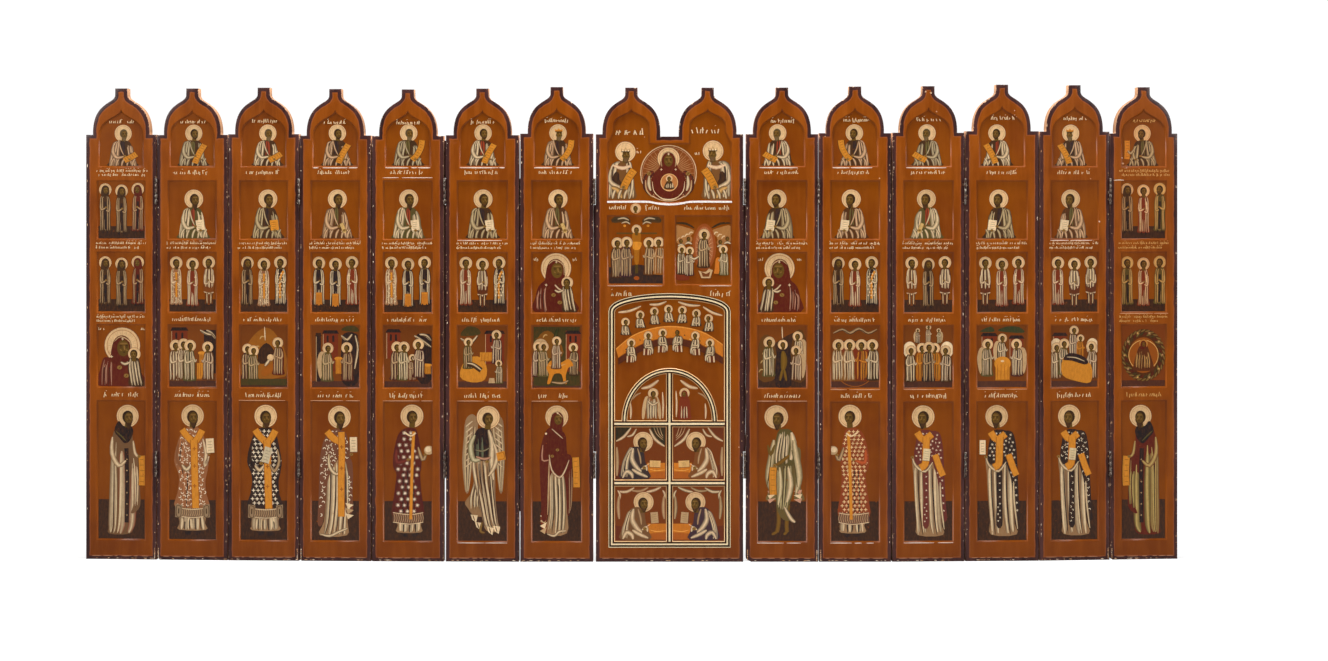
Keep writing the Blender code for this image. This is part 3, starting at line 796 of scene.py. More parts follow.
            self.bar([(-2.4, 8.6), (2.4, 8.6)], 0.5, ORANGE)
        self.stroke([(-3.8, 22), (-3.6, 16.5), (0.2, 17.6)], 1.9, cloak, robe)
        self.stroke([(3.8, 22), (3.4, 15.5), (0.8, 16)], 1.7, cloak, robe)
        self.hand(0.6, 18, 0.9)
        for side in (-1, 1):
            self.bar([(side * 1.4, 1.2), (side * 2.4, -0.5)], 1, NIGHT)
        self.broad = 1
        veil, beard = robe if kind in ("monk", "abbess") else None, 0 if kind in BEARDLESS else 0.5
        self.head(0.2, 30.4, 2.35, 0.3, HAIR, beard, None, veil)

    def little(self, x, z, facing, robe, cloak, high, wings=False):
        """One figure of a scene: halo, head, robe and a few folds."""
        spot, aged = self.spot, self.aged
        x0, z0, size, mirror = spot
        self.at(x0 + mirror * size * x, z0 + size * z, size * high / 26, mirror * facing, aged)
        if wings:
            self.robe([(19, -5, -2), (13, -6.8, -2.5), (6, -6, -2), (2, -4.6, -2.4)], STRAW)
        self.halo(0.4, 21.8, 3.6)
        rows = [(19, -1.8, 1.8), (16.5, -3.4, 3), (10, -3.8, 3.6), (4, -3.6, 3.6), (0.3, -4, 3.9)]
        self.robe(rows, robe)
        self.folds(rows, 0.05, 0.95, 4, cloak, robe, 0.62)
        self.stroke([(-2.6, 16), (-2.2, 11.5), (1.8, 12.6)], 1.7, cloak, robe)
        self.stroke([(2.4, 15.6), (3.4, 12), (4.4, 13.4)], 1.3, cloak, robe)
        self.head(0.6, 21.4, 1.75, 0.4)
        self.spot = spot

    def finish(self, finish_material):
        mesh = bpy.data.meshes.new(f"painting_{self.leaf.number:02d}")
        mesh.from_pydata(self.points, [], [list(face) for face in self.faces])
        tints = mesh.color_attributes.new("pigment", "FLOAT_COLOR", "POINT")
        for entry, tint in zip(tints.data, self.tints):
            entry.color = (*tint, 1)
        flip = [polygon.index for polygon in mesh.polygons if polygon.normal.y > 0]
        work = bmesh.new()
        work.from_mesh(mesh)
        work.faces.ensure_lookup_table()
        bmesh.ops.reverse_faces(work, faces=[work.faces[index] for index in flip])
        work.to_mesh(mesh)
        work.free()
        self.leaf.finish(f"painting_{self.leaf.number:02d}", mesh, finish_material)


def tempera_finish():
    """Tempera under the same varnish: each coat's tint, mottled, with fine cracks and rubbed spots."""
    material, shader, wire = new_finish("tempera", Coat_Roughness=0.18, Specular_IOR_Level=0.12)
    where = place_in(wire)
    tint = wire.node("ShaderNodeAttribute", {"attribute_name": "pigment"}, 0)
    brush = mottle(wire, place_in(wire, (1, 1, 0.4)), 700, 3)
    grain = mottle(wire, where, 1700, 2)
    clouds = mottle(wire, where, 60, 3)
    colour = mix(wire, brush.rising(0.4, 0.75) * 0.28, tint, srgb(120, 68, 26))
    colour = mix(wire, grain.rising(0.62, 0.75) * 0.4, colour, srgb(72, 42, 20))
    rubbed = mottle(wire, where, 330, 4, 0.7).rising(0.66, 0.72)
    colour = mix(wire, rubbed * 0.7, colour, GROUND)
    height = brush * 0.5 + grain * 0.3 + clouds * 0.3
    bump = wire.node("ShaderNodeBump", None, 0, Strength=0.3, Distance=0.0002, Height=height)
    feed(wire, shader, Base_Color=colour, Normal=bump, Roughness=clouds * 0.15 + 0.32,
         Coat_Weight=0.2 - rubbed * 0.15)
    return material


tempera = tempera_finish()


# ---- The standing figures
# One full-length figure in the tall field at the foot of each narrow leaf, painted in tempera and measured
# in mm from the field's floor: vestments patterned with crosses, flowers or curls over pale robes.


def linen(p, rows, count, fill, drift=0):
    p.robe(rows, LINEN)
    p.folds(rows, 0, 1, count, CREAM, FOLD, fill, drift)


def patterned(p, rows, spacing, cloth, motif, thread, size):
    p.robe(rows, cloth)
    p.pattern(rows, spacing, motif, thread, size)


def hem_band(p, outline, tint, count, threads, cords, sag, right):
    """The woven band over a vestment's hem: slanting threads between two cords."""
    p.area(outline, tint)
    p.one_coat(True)
    for n in range(count):
        x = -12.6 + 1.76 * n
        p.bar([(x + aside, z) for aside, z in zip((0, 0.9, 0), threads)], 0.4, STRAW)
    p.one_coat(False)
    for low in cords:
        p.bar([(-13.2, low), (0, low - sag), (right, low)], 0.5, CREAM)


def vested(p, cloth, motif, thread, size):
    """A bishop or deacon in a patterned vestment to the shins over a pale robe, seen from the front."""
    under = [(20, -10, 9.6), (10, -10.6, 10.2), (4.6, -11, 10.8)]
    p.robe([(5.6, -6.6, -0.8), (2.4, -6.4, -1), (0.4, -4.6, -2)], NIGHT)
    p.robe([(5.6, 0.8, 6.6), (2.4, 1, 6.4), (0.4, 2, 4.6)], NIGHT)
    linen(p, under, 5, 0.8)
    rows = [(87, -4.5, 4.5), (82, -9.5, 8.5), (72, -13, 11), (60, -15, 13), (51, -12, 12)]
    rows += [(44, -11, 10.5), (34, -12.4, 11.2), (22, -13.6, 12.4)]
    p.robe(rows, cloth)
    p.folds(rows[1:6], 0.05, 0.3, 2, lighter(cloth, 1.7), cloth, 0.8)
    p.folds(rows[4:], 0.12, 0.9, 4, lighter(cloth, 1.6), cloth, 0.5)
    p.pattern(rows, 3.7 if motif == "cross" else 3.6, motif, thread, size)
    band = [(-13.4, 23), (0, 21.8), (12.6, 23), (12.4, 15.6), (0, 13.6), (-13.2, 15.6)]
    hem_band(p, band, srgb(120, 92, 68), 15, (22, 18.6, 15.4), (22.4, 15.8), 1.4, 12.6)
    for side in (-1, 1):
        p.area(turned(side, (8.4, 24.6), (14, 25.4), (14.2, 14.8), (8.8, 14)), srgb(150, 122, 90))
        p.bar(turned(side, (9.4, 23.4), (12.9, 24), (13.1, 16), (9.7, 15.4), (9.4, 23.4)), 0.5, SHADE)
        p.bar(turned(side, (11.2, 21.8), (11.4, 17.6)), 0.9, SHADE)
    p.stroke([(-11.6, 74), (-13, 62), (-8, 55), (-2.6, 58)], 3.4, lighter(cloth, 0.7), cloth)
    p.light([(-8.6, 57), (-5, 53), (-1.5, 56.5)], 3.2)


def bishop_plain(p, cloth, motif, thread, size):
    """A bishop seen from the front, with the stole over both shoulders."""
    p.halo(0, 96.5, 9.1)
    vested(p, cloth, motif, thread, size)
    p.stole([(-8.5, 85.5), (-4.5, 80), (1, 75)], 5)
    p.stole([(8, 85), (5, 79.5), (1.2, 74.5)], 5)
    p.stole([(1.2, 77), (1.8, 50), (2.6, 22)], 5.2)
    for z in (70, 56, 40):
        p.motif(1.6, z, "cross", TAWNY, 1.5)
    p.head(0.3, 95.2, 4.3, 0.2, HAIR, 1)


def bishop_with_book(p, cloth, motif, thread, size):
    bishop_plain(p, cloth, motif, thread, size)
    p.stroke([(8.5, 78), (11, 66), (10, 56), (13.5, 64)], 3.4, CREAM, srgb(120, 70, 44))
    p.hand(13.6, 66)
    p.book(11.5, 66.5, 6.4, 12, 0.06)


def bishop_holding_book(p, cloth, motif, thread, size):
    bishop_plain(p, cloth, motif, thread, size)
    p.book(-3.5, 60, 6, 10.5, -0.3, srgb(206, 186, 150))
    p.hand(-3.5, 58.5, 1.6)
    p.stroke([(9.5, 70), (11, 60), (7, 52), (3.5, 58)], 2.6, STRAW, SHADE)


def bishop_in_mantle(p, cloth, motif, thread, size):
    """A bishop turned half aside: patterned mantle falling from the shoulders, pale robe, long stole."""
    p.halo(2, 96, 9.1)
    inner = [(62, -8.5, 9.5), (48, -8.5, 10.5), (30, -9, 10), (12, -10.5, 8.5), (1, -14, 8)]
    linen(p, inner, 5, 0.72, 0.1)
    p.light([(-13.5, 2), (-6, 0.4), (2, 4), (8.5, 6.5)], 2.4)
    right = [(62, 5, 11.5), (50, 7, 13), (36, 7.5, 12.5), (20, 7, 12.8)]
    p.robe(right, cloth)
    p.folds(right, 0.1, 0.6, 1, CREAM, SHADE, 0.6)
    p.pattern(right[1:], 3.3, motif, thread, size)
    for n in range(3):
        z = 27 - 4.2 * n
        p.area([(7, z), (13.6, z - 1.5), (9, z - 4.6)], STRAW if n % 2 else CREAM)
    left = [(86, -3, 3), (80, -9.6, 4.6), (68, -13, 5), (58, -14, -2)]
    left += [(44, -14.4, -7.6), (28, -15, -9), (10, -15.6, -11.6)]
    patterned(p, left, 3.6, cloth, motif, thread, size)
    p.light([(-6.5, 66), (-6, 56), (0, 50), (6, 58)], 3)
    chest = [(84, -1, 6.5), (74, -1, 9.5), (62, 0, 10.5)]
    patterned(p, chest, 3.2, cloth, motif, thread, size)
    p.stole([(-8, 84.5), (-3, 79), (3, 76)], 5)
    p.stole([(3.6, 84), (4, 66), (3.4, 44), (3.6, 16)], 4.8)
    for z in (72, 55, 38):
        p.motif(3.8, z, "cross", TAWNY, 1.5)
    p.hand(11.6, 66, 1.5)
    p.book(10.6, 68, 5.8, 12, 0.02)
    p.head(2.4, 95, 4.3, 0.35, HAIR, 1.1)


def bishop_turned(p, cloth, motif, thread, size, book_on_chest=True):
    """A bishop whose stole hangs over the arm, with a narrow patterned panel down the robe."""
    p.halo(3.6, 96.5, 9.1)
    inner = [(64, -9, 11), (50, -8.5, 11.5), (30, -9, 10.5), (12, -10.5, 9), (1.5, -12.5, 8)]
    p.robe(inner, LINEN)
    p.folds(inner, 0, 0.44, 2, CREAM, FOLD, 0.75, 0.06)
    p.folds(inner, 0.6, 1, 2, CREAM, FOLD, 0.72, 0.06)
    panel = [(56, -0.6, 3.6), (30, -0.8, 3.6), (9, -1, 3.8)]
    p.robe(panel, cloth)
    p.pattern(panel, 3, motif, thread, size * 0.8)
    back = [(84, -9, -1), (74, -12, -2), (60, -13, -4), (46, -13.6, -8), (30, -14.4, -9.5), (14, -15.5, -12)]
    patterned(p, back, 3.3, cloth, motif, thread, size)
    p.light([(-10, 44), (-10.6, 28), (-13.4, 6)], 1.8)
    front = [(85, -4, 7), (76, -6, 9.5), (66, -6, 11), (58, -2, 9)]
    patterned(p, front, 3.2, cloth, motif, thread, size)
    p.light([(-4, 60), (2, 52.5), (9.5, 57), (12.5, 64)], 2.2)
    p.stole([(8.5, 84), (3.5, 78), (-3.5, 82.5)], 5)
    p.stole([(1, 80), (1.4, 68), (2, 58.5), (6, 55.5)], 5.2)
    p.stole([(-6, 66), (-9.5, 56), (-12.5, 49)], 4.6)
    if book_on_chest:
        p.book(-1.4, 61, 5.6, 10, 0.1, srgb(222, 196, 150))
    else:
        p.book(12.6, 66, 4.8, 11.5)
    p.hand(12.4, 64, 1.5)
    p.head(3.8, 95.4, 4.3, 0.35, HAIR, 0.9)


def deacon(p, cloth, motif, thread, size):
    """A deacon with a narrow stole and a round box held up on a cloth."""
    p.halo(2, 97, 9.2)
    under = [(16, -9, 8.6), (9, -9.4, 9), (3.6, -9.8, 9.2)]
    p.robe([(4.6, -6.4, -0.8), (2, -6.4, -1), (0.2, -4.8, -2)], NIGHT)
    p.robe([(4.6, 1.4, 6.8), (2, 1.6, 6.8), (0.2, 2.6, 5.2)], NIGHT)
    linen(p, under, 4, 0.8)
    rows = [(87, -4, 4.5), (81, -9.5, 7), (66, -13, 9.5), (56, -13, 9.5)]
    rows += [(50, -10.5, 8.6), (36, -12, 9.5), (14, -13, 10.5)]
    p.robe(rows, cloth)
    p.folds(rows[3:], 0.1, 0.9, 4, lighter(cloth, 1.6), cloth, 0.5)
    p.pattern(rows, 2.5 * size if motif == "flower" else 3.4, motif, thread, size)
    band = [(-13.2, 20), (0, 18.6), (10.8, 20), (11.2, 11.6), (0, 9.4), (-13.6, 11.6)]
    hem_band(p, band, srgb(112, 76, 58), 14, (18.6, 15, 11.4), (19.4, 11.8), 1.6, 11)
    p.stroke([(7, 72), (10.5, 62), (13.5, 66.5)], 3, STRAW, SHADE)
    p.stroke([(-10.5, 70), (-10, 60), (-2, 61.5)], 3.2, lighter(cloth, 2.2), cloth)
    p.hand(-1, 62, 1.4)
    p.disc(15.6, 69.6, 3.9, 3.6, STRAW, 14)
    p.disc(15, 70.2, 2.5, 2.2, CREAM, 12)
    p.hand(12.6, 66, 1.4)
    p.stole([(3.4, 84.5), (2.2, 60), (1, 14)], 2.2)
    p.bar([(-4, 84), (1, 81), (5, 83.5)], 1.2, CREAM)
    p.head(2.4, 95.8, 4.2, 0.35, HAIR, 0)


def monk(p, robe, cloak, mantle):
    """A bearded monk with a hood on the shoulders, a dark band and a hanging scroll."""
    p.halo(3.4, 96, 9)
    rows = [(86, -6, 6), (76, -9.6, 7.6), (60, -10.6, 9), (40, -11, 9.5)]
    rows += [(20, -11.5, 9.5), (8, -11.5, 8.5), (1, -12, 5)]
    p.robe(rows, mantle)
    p.folds(rows[1:], 0, 0.3, 2, cloak, mantle, 0.8)
    p.folds(rows[1:], 0.36, 0.56, 1, cloak, robe, 0.9)
    p.folds(rows[2:], 0.78, 1, 1, cloak, robe, 0.8)
    p.bar([(2.4, 70), (3, 40), (2.6, 10)], 3.4, NIGHT, lighter(NIGHT, 0.6))
    for n in range(6):
        p.motif(2.8, 16 + 9 * n, "cross", STRAW, 0.7)
    p.robe([(66, 6, 11.5), (56, 8.5, 14.5), (40, 9, 13.5), (24, 8, 13.8), (18, 6, 9)], mantle)
    p.folds([(62, 7, 12), (42, 8.5, 13), (22, 7.5, 12.5)], 0.1, 0.95, 2, cloak, robe, 0.8)
    p.stroke([(-9, 79), (-9.4, 66), (-4, 56), (2, 60)], 3.8, cloak, mantle)
    p.stroke([(8, 76), (9.5, 66), (13, 62.5)], 2.4, cloak, mantle)
    hood = [(-7.5, 84), (-4, 92), (0, 88), (6, 88), (8, 83), (5, 76), (1, 74), (-3, 78)]
    p.area(hood, lighter(NIGHT, 0.8), True)
    p.stroke([(-6.5, 84), (-2, 80), (2, 76)], 1, OLIVE)
    p.scroll([(15, 64), (15.6, 52), (15.2, 40)], 5.6)
    p.hand(12.8, 63.5, 1.5)
    p.head(3.8, 94.8, 4.2, 0.3, lighter(HAIR, 0.9), 1.3)


def winged_figure(p):
    """In a pale cloak over a dark tunic, bowing, with two folded wings and blown skirts."""
    feather, quill = srgb(214, 182, 136), srgb(146, 112, 78)
    for side, far in ((-1, 15.4), (1, 15)):
        rows = [(98, 8, 11.6), (93, 5, 15.2), (80, 6, far + 1), (62, 9, far + 1.6)]
        rows += [(46, 11, far + 0.4), (36, 12.6, far - 0.6)]
        wing = [(z, -b, -a) if side < 0 else (z, a, b) for z, a, b in rows]
        p.robe(wing, quill)
        p.folds(wing[1:], 0.05, 1, 3, feather, quill, 0.8)
        for n in range(8):
            z = 93 - 4.6 * n
            p.stroke([(side * (far - 6), z), (side * (far - 0.6), z - 4.4)], 1.3, srgb(236, 208, 164), quill)
    p.halo(3.2, 96, 9.2)
    p.robe([(46, -8, -2), (36, -10, -1), (28, -15.4, -3), (23, -13, -2), (17, -8, 2)], srgb(150, 112, 74))
    p.folds([(44, -8, -1), (32, -12, -2), (22, -13, -1)], 0.1, 0.95, 4, CREAM, SHADE, 0.7)
    legs = [(66, -8.6, 8.2), (56, -9.2, 8.6), (44, -7.6, 8.8), (30, -4, 9.2), (14, -1, 10.6), (5, 2, 12.6)]
    linen(p, legs, 4, 0.7, 0.16)
    for n in range(5):
        p.stroke([(-6.6 + 3 * n, 60 - n), (-4.4 + 2.9 * n, 36), (0.4 + 2.5 * n, 9)], 0.7, srgb(66, 42, 30))
    for x, z in ((-8, 14), (-4.6, 8), (5, 4), (10, 5)):
        p.area([(x - 2.8, z + 4), (x + 2.8, z + 3.4), (x + 1.6, z - 2.4), (x - 1.6, z)], CREAM)
        p.stroke([(x - 1, z + 3.4), (x + 0.4, z - 1)], 0.7, SHADE)
    p.stroke([(-1.6, 12), (-3, 5), (0.4, 3.4)], 2, PALE_SKIN, SKIN)
    torso = [(87, -4.6, 4), (80, -8.4, 7.6), (70, -8, 8), (62, -8.2, 8.2)]
    p.robe(torso, NIGHT)
    p.folds(torso[1:], 0.1, 0.5, 2, srgb(110, 116, 88), NIGHT, 0.6)
    p.stroke([(-7.4, 82), (-11, 73), (-8.6, 62), (-2, 63)], 4.4, srgb(214, 196, 152), OLIVE)
    p.light([(3.6, 86), (6.4, 75), (6, 60), (7.4, 46)], 5)
    p.stroke([(7.4, 76), (10.4, 66), (8, 56), (3.4, 49)], 3.4, CREAM, srgb(110, 76, 48))
    p.stroke([(-7, 70), (-1, 69), (5, 72)], 1.4, srgb(150, 136, 100), NIGHT)
    p.stroke([(-6.6, 64.6), (0, 62.6), (5.4, 64)], 2.4, PINK, SHADE)
    p.area([(9.6, 67.4), (16.2, 69.4), (17.4, 62.4), (10.8, 61)], ORANGE)
    p.bar([(11.2, 66.8), (15.4, 67.8), (16.2, 63.2), (12, 62.4)], 0.5, TAWNY)
    p.hand(2.4, 60.6, 1.5)
    p.head(3.2, 94.4, 4.2, 0.4, HAIR, 0)


def veiled_woman(p):
    """In a dark red mantle over a pale robe, with an open scroll."""
    p.halo(0, 96.5, 9.1)
    lower = [(58, -5.5, 6), (40, -6, 8), (20, -6, 8.5), (3, -8, 8)]
    p.robe(lower, LINEN)
    p.folds(lower, 0, 1, 4, CREAM, srgb(92, 70, 40), 0.7, 0.08)
    p.light([(-7.5, 2.6), (-2, 1), (2, 4.4), (7.5, 5)], 2.2)
    p.robe([(22, -12, -7), (12, -13, -8), (4, -11, -8)], RUST)
    for n in range(4):
        p.area([(-8, 20 - 4 * n), (-13.4, 17 - 4 * n), (-9.5, 14.5 - 4 * n)], STRAW if n % 2 else CREAM)
    rows = [(88, -5.5, 3.5), (82, -10, 5), (68, -13.5, 7.5)]
    rows += [(50, -13.5, -5), (30, -12.5, -6.6), (14, -12, -8.4)]
    p.robe(rows, WINE)
    right = [(66, 2, 11), (56, 4, 13), (42, 7, 12.6), (26, 8, 12), (18, 8.5, 10)]
    p.robe(right, WINE)
    p.folds(right[1:], 0.5, 1, 2, STRAW, WINE, 0.5)
    body = [(84, -7, 6), (70, -9, 8), (58, -6, 9), (50, -2, 4)]
    p.robe(body, lighter(WINE, 0.85))
    p.stroke([(-6, 66), (-4, 54), (2, 48), (6, 52), (10, 62)], 1.6, CREAM, WINE)
    p.stroke([(-6, 62), (-6.6, 40), (-7.2, 18)], 0.9, STRAW)
    p.stroke([(-11, 74), (-11.6, 62), (-6, 62)], 1.6, PINK, WINE)
    p.disc(-8.6, 83, 0.9, 0.9, CREAM, 8)
    p.scroll([(15.2, 64), (15.8, 52), (16, 40)], 5.4)
    p.hand(-3.6, 65, 1.5)
    p.hand(0.6, 70, 1.5)
    p.head(0.6, 94.6, 4.1, 0.5, SKIN, 0, None, WINE)
    p.stroke([(-4.6, 97.5), (-0.8, 100.6), (4.6, 96)], 0.7, STRAW)
    p.stroke([(-4, 87), (0.5, 83), (5, 79)], 1, CREAM, WINE)
    p.disc(0.8, 99.6, 0.8, 0.8, CREAM, 8)


FLESH = srgb(128, 88, 30)


def bare_legged_prophet(p):
    """In a hair robe and cloak over bare legs, bowing, with an open scroll."""
    p.halo(5.6, 96.4, 9.4)
    for x, foot in ((4, 8.5), (-4, -1)):
        p.bar([(x, 26), (x * 0.8 + 0.4, 12), (x + 1, 4)], 3.2, FLESH, SKIN)
        p.stroke([(x + 0.8, 4.4), (foot + 0.6, 2)], 2.2, FLESH, SKIN)
    legs = [(62, -10, 8), (48, -10, 7.5), (32, -7, 6), (22, -4, 5), (14, -8, 0)]
    p.robe(legs, srgb(98, 82, 44))
    p.folds(legs[:4], 0.1, 0.9, 5, srgb(206, 184, 130), OLIVE, 0.75)
    p.light([(-1, 24), (-6, 15), (-9.6, 12)], 3.2)
    for x0, side in ((9, 1), (-12, -1)):
        fall = [(70, x0 - 2, x0 + 2.4), (52, x0 - 1.6, x0 + 3.2), (38, x0 - 2.4, x0 + 2.6)]
        p.robe(fall + [(30, x0 - 4 + side, x0 + 4 + side)], srgb(110, 92, 52))
        fall = [(68, x0 - 2, x0 + 2.4), (50, x0 - 1.6, x0 + 3), (32, x0 - 3, x0 + 4)]
        p.folds(fall, 0.1, 0.9, 2, CREAM, OLIVE, 0.7)
        for n in range(3):
            z = 38 - 3.4 * n
            p.area([(x0 - 3, z), (x0 + 3.6, z - 1), (x0 + side * 1.8, z - 4)], CREAM if n % 2 else PINK)
    torso = [(86, -6, 3), (78, -9, 6), (66, -9, 8.5), (58, -9.5, 9)]
    p.robe(torso, OLIVE)
    p.folds(torso, 0.3, 0.9, 4, CREAM, OLIVE, 0.65)
    p.stroke([(-6.5, 84), (-8.6, 72), (-6, 62)], 4.6, CREAM, srgb(150, 130, 92))
    for x0, x1 in ((-10.5, -12.8), (9.4, 11.8)):
        p.stroke([(x0 * 0.8, 78), (x0, 64), (x1, 48), (x0, 36)], 5.4, srgb(222, 194, 146), srgb(96, 80, 44))
        p.stroke([(x0 * 0.8 + 1.6, 70), (x0 + 1.2, 56), (x1 + 1.4, 40)], 0.9, OLIVE)
    p.stroke([(-4, 56), (-6, 42), (-3, 28)], 4.2, CREAM, srgb(120, 104, 66))
    p.stroke([(3, 56), (2, 40), (4, 26)], 3.2, srgb(226, 200, 152), srgb(120, 104, 66))
    p.stroke([(-5, 66), (2, 60), (6, 58)], 2.8, FLESH, SKIN)
    p.stroke([(7, 74), (10, 66), (12.4, 74)], 2.4, srgb(112, 84, 34), SKIN)
    p.scroll([(8, 56), (8.6, 46), (8, 34)], 5.6)
    p.hand(7, 57.5, 1.6)
    p.head(4.4, 94.6, 4.3, 0.5, lighter(HAIR, 1.2), 0.9)


BLACK_CLOTH, BROCADE, RED_CLOTH = srgb(40, 32, 30), srgb(150, 94, 58), srgb(142, 62, 30)
WHITE = srgb(238, 216, 182)
STANDING = {
    1: (1.6, monk, RUST, CREAM, srgb(112, 80, 52)),
    2: (0, bishop_with_book, BROCADE, "curl", WHITE, 1.1),
    3: (1.4, bishop_holding_book, BLACK_CLOTH, "cross", WHITE, 1.4),
    4: (1.2, bishop_in_mantle, srgb(110, 66, 46), "curl", WHITE, 1.1),
    5: (1.2, deacon, srgb(84, 30, 26), "flower", WHITE, 2.1),
    6: (1.4, winged_figure),
    7: (0, veiled_woman),
    9: (1, bare_legged_prophet),
    10: (-2, deacon, RED_CLOTH, "cross", srgb(232, 196, 140), 1.3),
    11: (-0.5, bishop_turned, srgb(104, 46, 40), "flower", WHITE, 1.2),
    12: (-0.6, bishop_turned, BLACK_CLOTH, "flower", WHITE, 1.3, False),
    13: (-0.6, bishop_turned, BLACK_CLOTH, "curl", WHITE, 0.9),
    14: (1, monk, OLIVE, srgb(196, 164, 96), WINE),
}


# ---- The scenes, the rows of three and the half figures
# Over the standing figure each narrow leaf has a framed scene, three small figures, a half figure and one
# more in the pointed top field, painted in the same tempera. Titles are rows of strokes between the fields.


def block(p, left, right, low, high, tint):
    p.area([(left, low), (right, low), (right, high), (left, high)], tint)


def earth_strip(p, half, low, high, tint=EARTH):
    block(p, -half, half, low, high, tint)


def row_of_three(p, low, kinds, aged=1):
    half = p.leaf.width / 2 - 9.4
    p.at(0, 0, 1, 1, aged)
    earth_strip(p, half, low + 0.9, low + 11)
    for n, kind in enumerate(kinds):
        p.at((-13.4, 0, 13.4)[n], low + (6, 5, 6.4)[n], 1.12, 1 if n < 2 else -1, aged)
        p.small_figure(kind)


def veiled_mother(p, x, low, size, halo, drop, facing):
    """A veiled mother to the waist in a dark red mantle, with a child in the crook of her arm."""
    p.at(x, low + 0.9, size, facing)
    for side in (-1, 1):
        p.writing(side * 15.6 - 1.8, side * 15.6 + 1.6, 41.5, 2.1, CREAM, 0)
    p.halo(0, 35.5 - drop, halo)
    rows = [(34 - drop, -6, 5), (27 - drop, -8, 5), (21, -14, 8), (12, -16.6, 13), (0.4, -17.2, 17)]
    p.robe(rows, WINE)
    p.folds(rows[2:], 0.02, 0.3, 3, PINK, WINE, 0.4)
    p.stroke([(-3, 25), (2, 19), (8, 16.5)], 1.4, CREAM, WINE)
    p.head(0, 34 - drop, 6, 0.4, SKIN, 0, None, WINE)
    edge = [(-6, 38.5), (-1, 42), (5.8, 38), (6.4, 30)]
    p.stroke([(x, z - drop) for x, z in edge], 0.8, STRAW)
    p.motif(-8, 22, "cross", CREAM, 1)
    p.motif(0.2, 40.4 - drop, "cross", CREAM, 0.9)
    p.halo(9, 24, 4.6)
    child = [(21, 5.6, 11.6), (15, 4, 13.6), (8, 5, 14.6), (0.6, 5.4, 16.6)]
    p.robe(child, SHADE)
    p.folds(child, 0.05, 0.95, 4, CREAM, SHADE, 0.75)
    p.light([(6, 18), (2, 16.5), (-1, 18)], 2)
    p.hand(-2, 14, 1.9)
    p.hand(3, 8, 1.9)
    p.head(8.8, 23.6, 2.7, -0.5, HAIR)


ROBES = (SHADE, srgb(96, 56, 30), OLIVE, srgb(70, 34, 30))
CLOAKS = (CREAM, srgb(210, 172, 124), srgb(224, 190, 150))


def crowd(p, places, high, robe=None, cloak=None, wings=False):
    """Figures of a scene, in robes of four tones where the scene doesn't say which."""
    for x, z, facing in places:
        tones = ROBES[p.chance.randrange(4)], CLOAKS[p.chance.randrange(3)]
        p.little(x, z, facing, robe or tones[0], cloak or tones[1], high, wings)


def hall(p, left, right, low, high, wall=RUST, roof=NIGHT):
    """A building behind a scene: a wall, two dark windows and a roof."""
    block(p, left, right, low, high, wall)
    p.area([(left - 0.8, high - 2.6), (right + 0.8, high - 2.6), (right - 1, high), (left + 1, high)], roof)
    for share in (0.25, 0.62):
        x = left + (right - left) * share
        p.area(near(x, high, 1, (0, -9), (1.6, -9), (1.6, -4.6), (0.8, -3.8), (0, -4.6)), NIGHT)
    p.bar([(left + 0.4, low), (left + 0.4, high - 3)], 0.4, STRAW)


def curtain(p, points, tint=CREAM):
    p.stroke(points, 2.2, tint, SHADE)
    p.stroke([(x + 0.6, z - 0.8) for x, z in points], 0.55, SHADE)


def table(p, left, right, low, high, round_top=0):
    block(p, left, right, low, high, lighter(ORANGE, 0.85))
    if round_top:
        p.disc((left + right) / 2, high, (right - left) / 2 + 1, round_top, ORANGE)
    for n in range(4):
        x = left + (right - left) * (n + 0.5) / 4
        p.stroke([(x, low + 0.5), (x + 0.3, high - 0.5)], 0.4, TAWNY)
    p.bar([(left + 0.4, low + 0.4), (right - 0.4, low + 0.4)], 0.4, TAWNY)


def rock(p, points, tint, edge):
    p.area(points, edge, smooth=True)
    (x0, z0), (x1, z1) = points[0], points[len(points) // 2]
    for n in range(4):
        share = 0.2 + 0.2 * n
        x, z = x0 + (x1 - x0) * share, z0 + (z1 - z0) * share
        p.stroke([(x - 1.5, z - 1.5), (x, z + 0.6), (x + 2, z + 0.4)], 1.3, tint, edge)


def scene_at_the_table(p):
    hall(p, -17, -4, 16, 46)
    block(p, 9, 19, 10, 44, NIGHT)
    curtain(p, [(6, 44), (11, 41), (17, 40)])
    curtain(p, [(11, 44), (15, 41.5), (18.4, 37)])
    crowd(p, [(-14, 4, 1), (-7.6, 5, 1), (-2.4, 4, 1)], 33)
    table(p, 3.6, 11, 5.5, 18)
    table(p, 5.4, 9.6, 18, 26, 1.4)
    crowd(p, [(12.6, 4.6, -1)], 31)


def scene_in_the_cave(p):
    rock(p, [(-17, 8), (-16, 26), (-8, 40), (2, 46), (10, 40), (17, 26), (17, 8)], SAND, srgb(150, 88, 26))
    p.area([(-4, 18), (6, 20), (8, 28), (2, 34), (-4, 28)], lighter(EARTH, 0.9), True)
    p.stroke([(0.5, 46.5), (1, 36)], 0.7, CREAM)
    crowd(p, [(-13.4, 5, 1), (-8.6, 3.6, 1)], 29)
    p.area([(-2, 12), (8, 19), (10, 15), (1, 8)], TAWNY, True)
    crowd(p, [(11.4, 9, -1)], 30, WINE)
    p.halo(5.2, 22.6, 2.6)
    p.light([(4.6, 21), (0.8, 16.2)], 2.4)
    earth_strip(p, 18, 0.9, 6, lighter(OLIVE, 0.6))


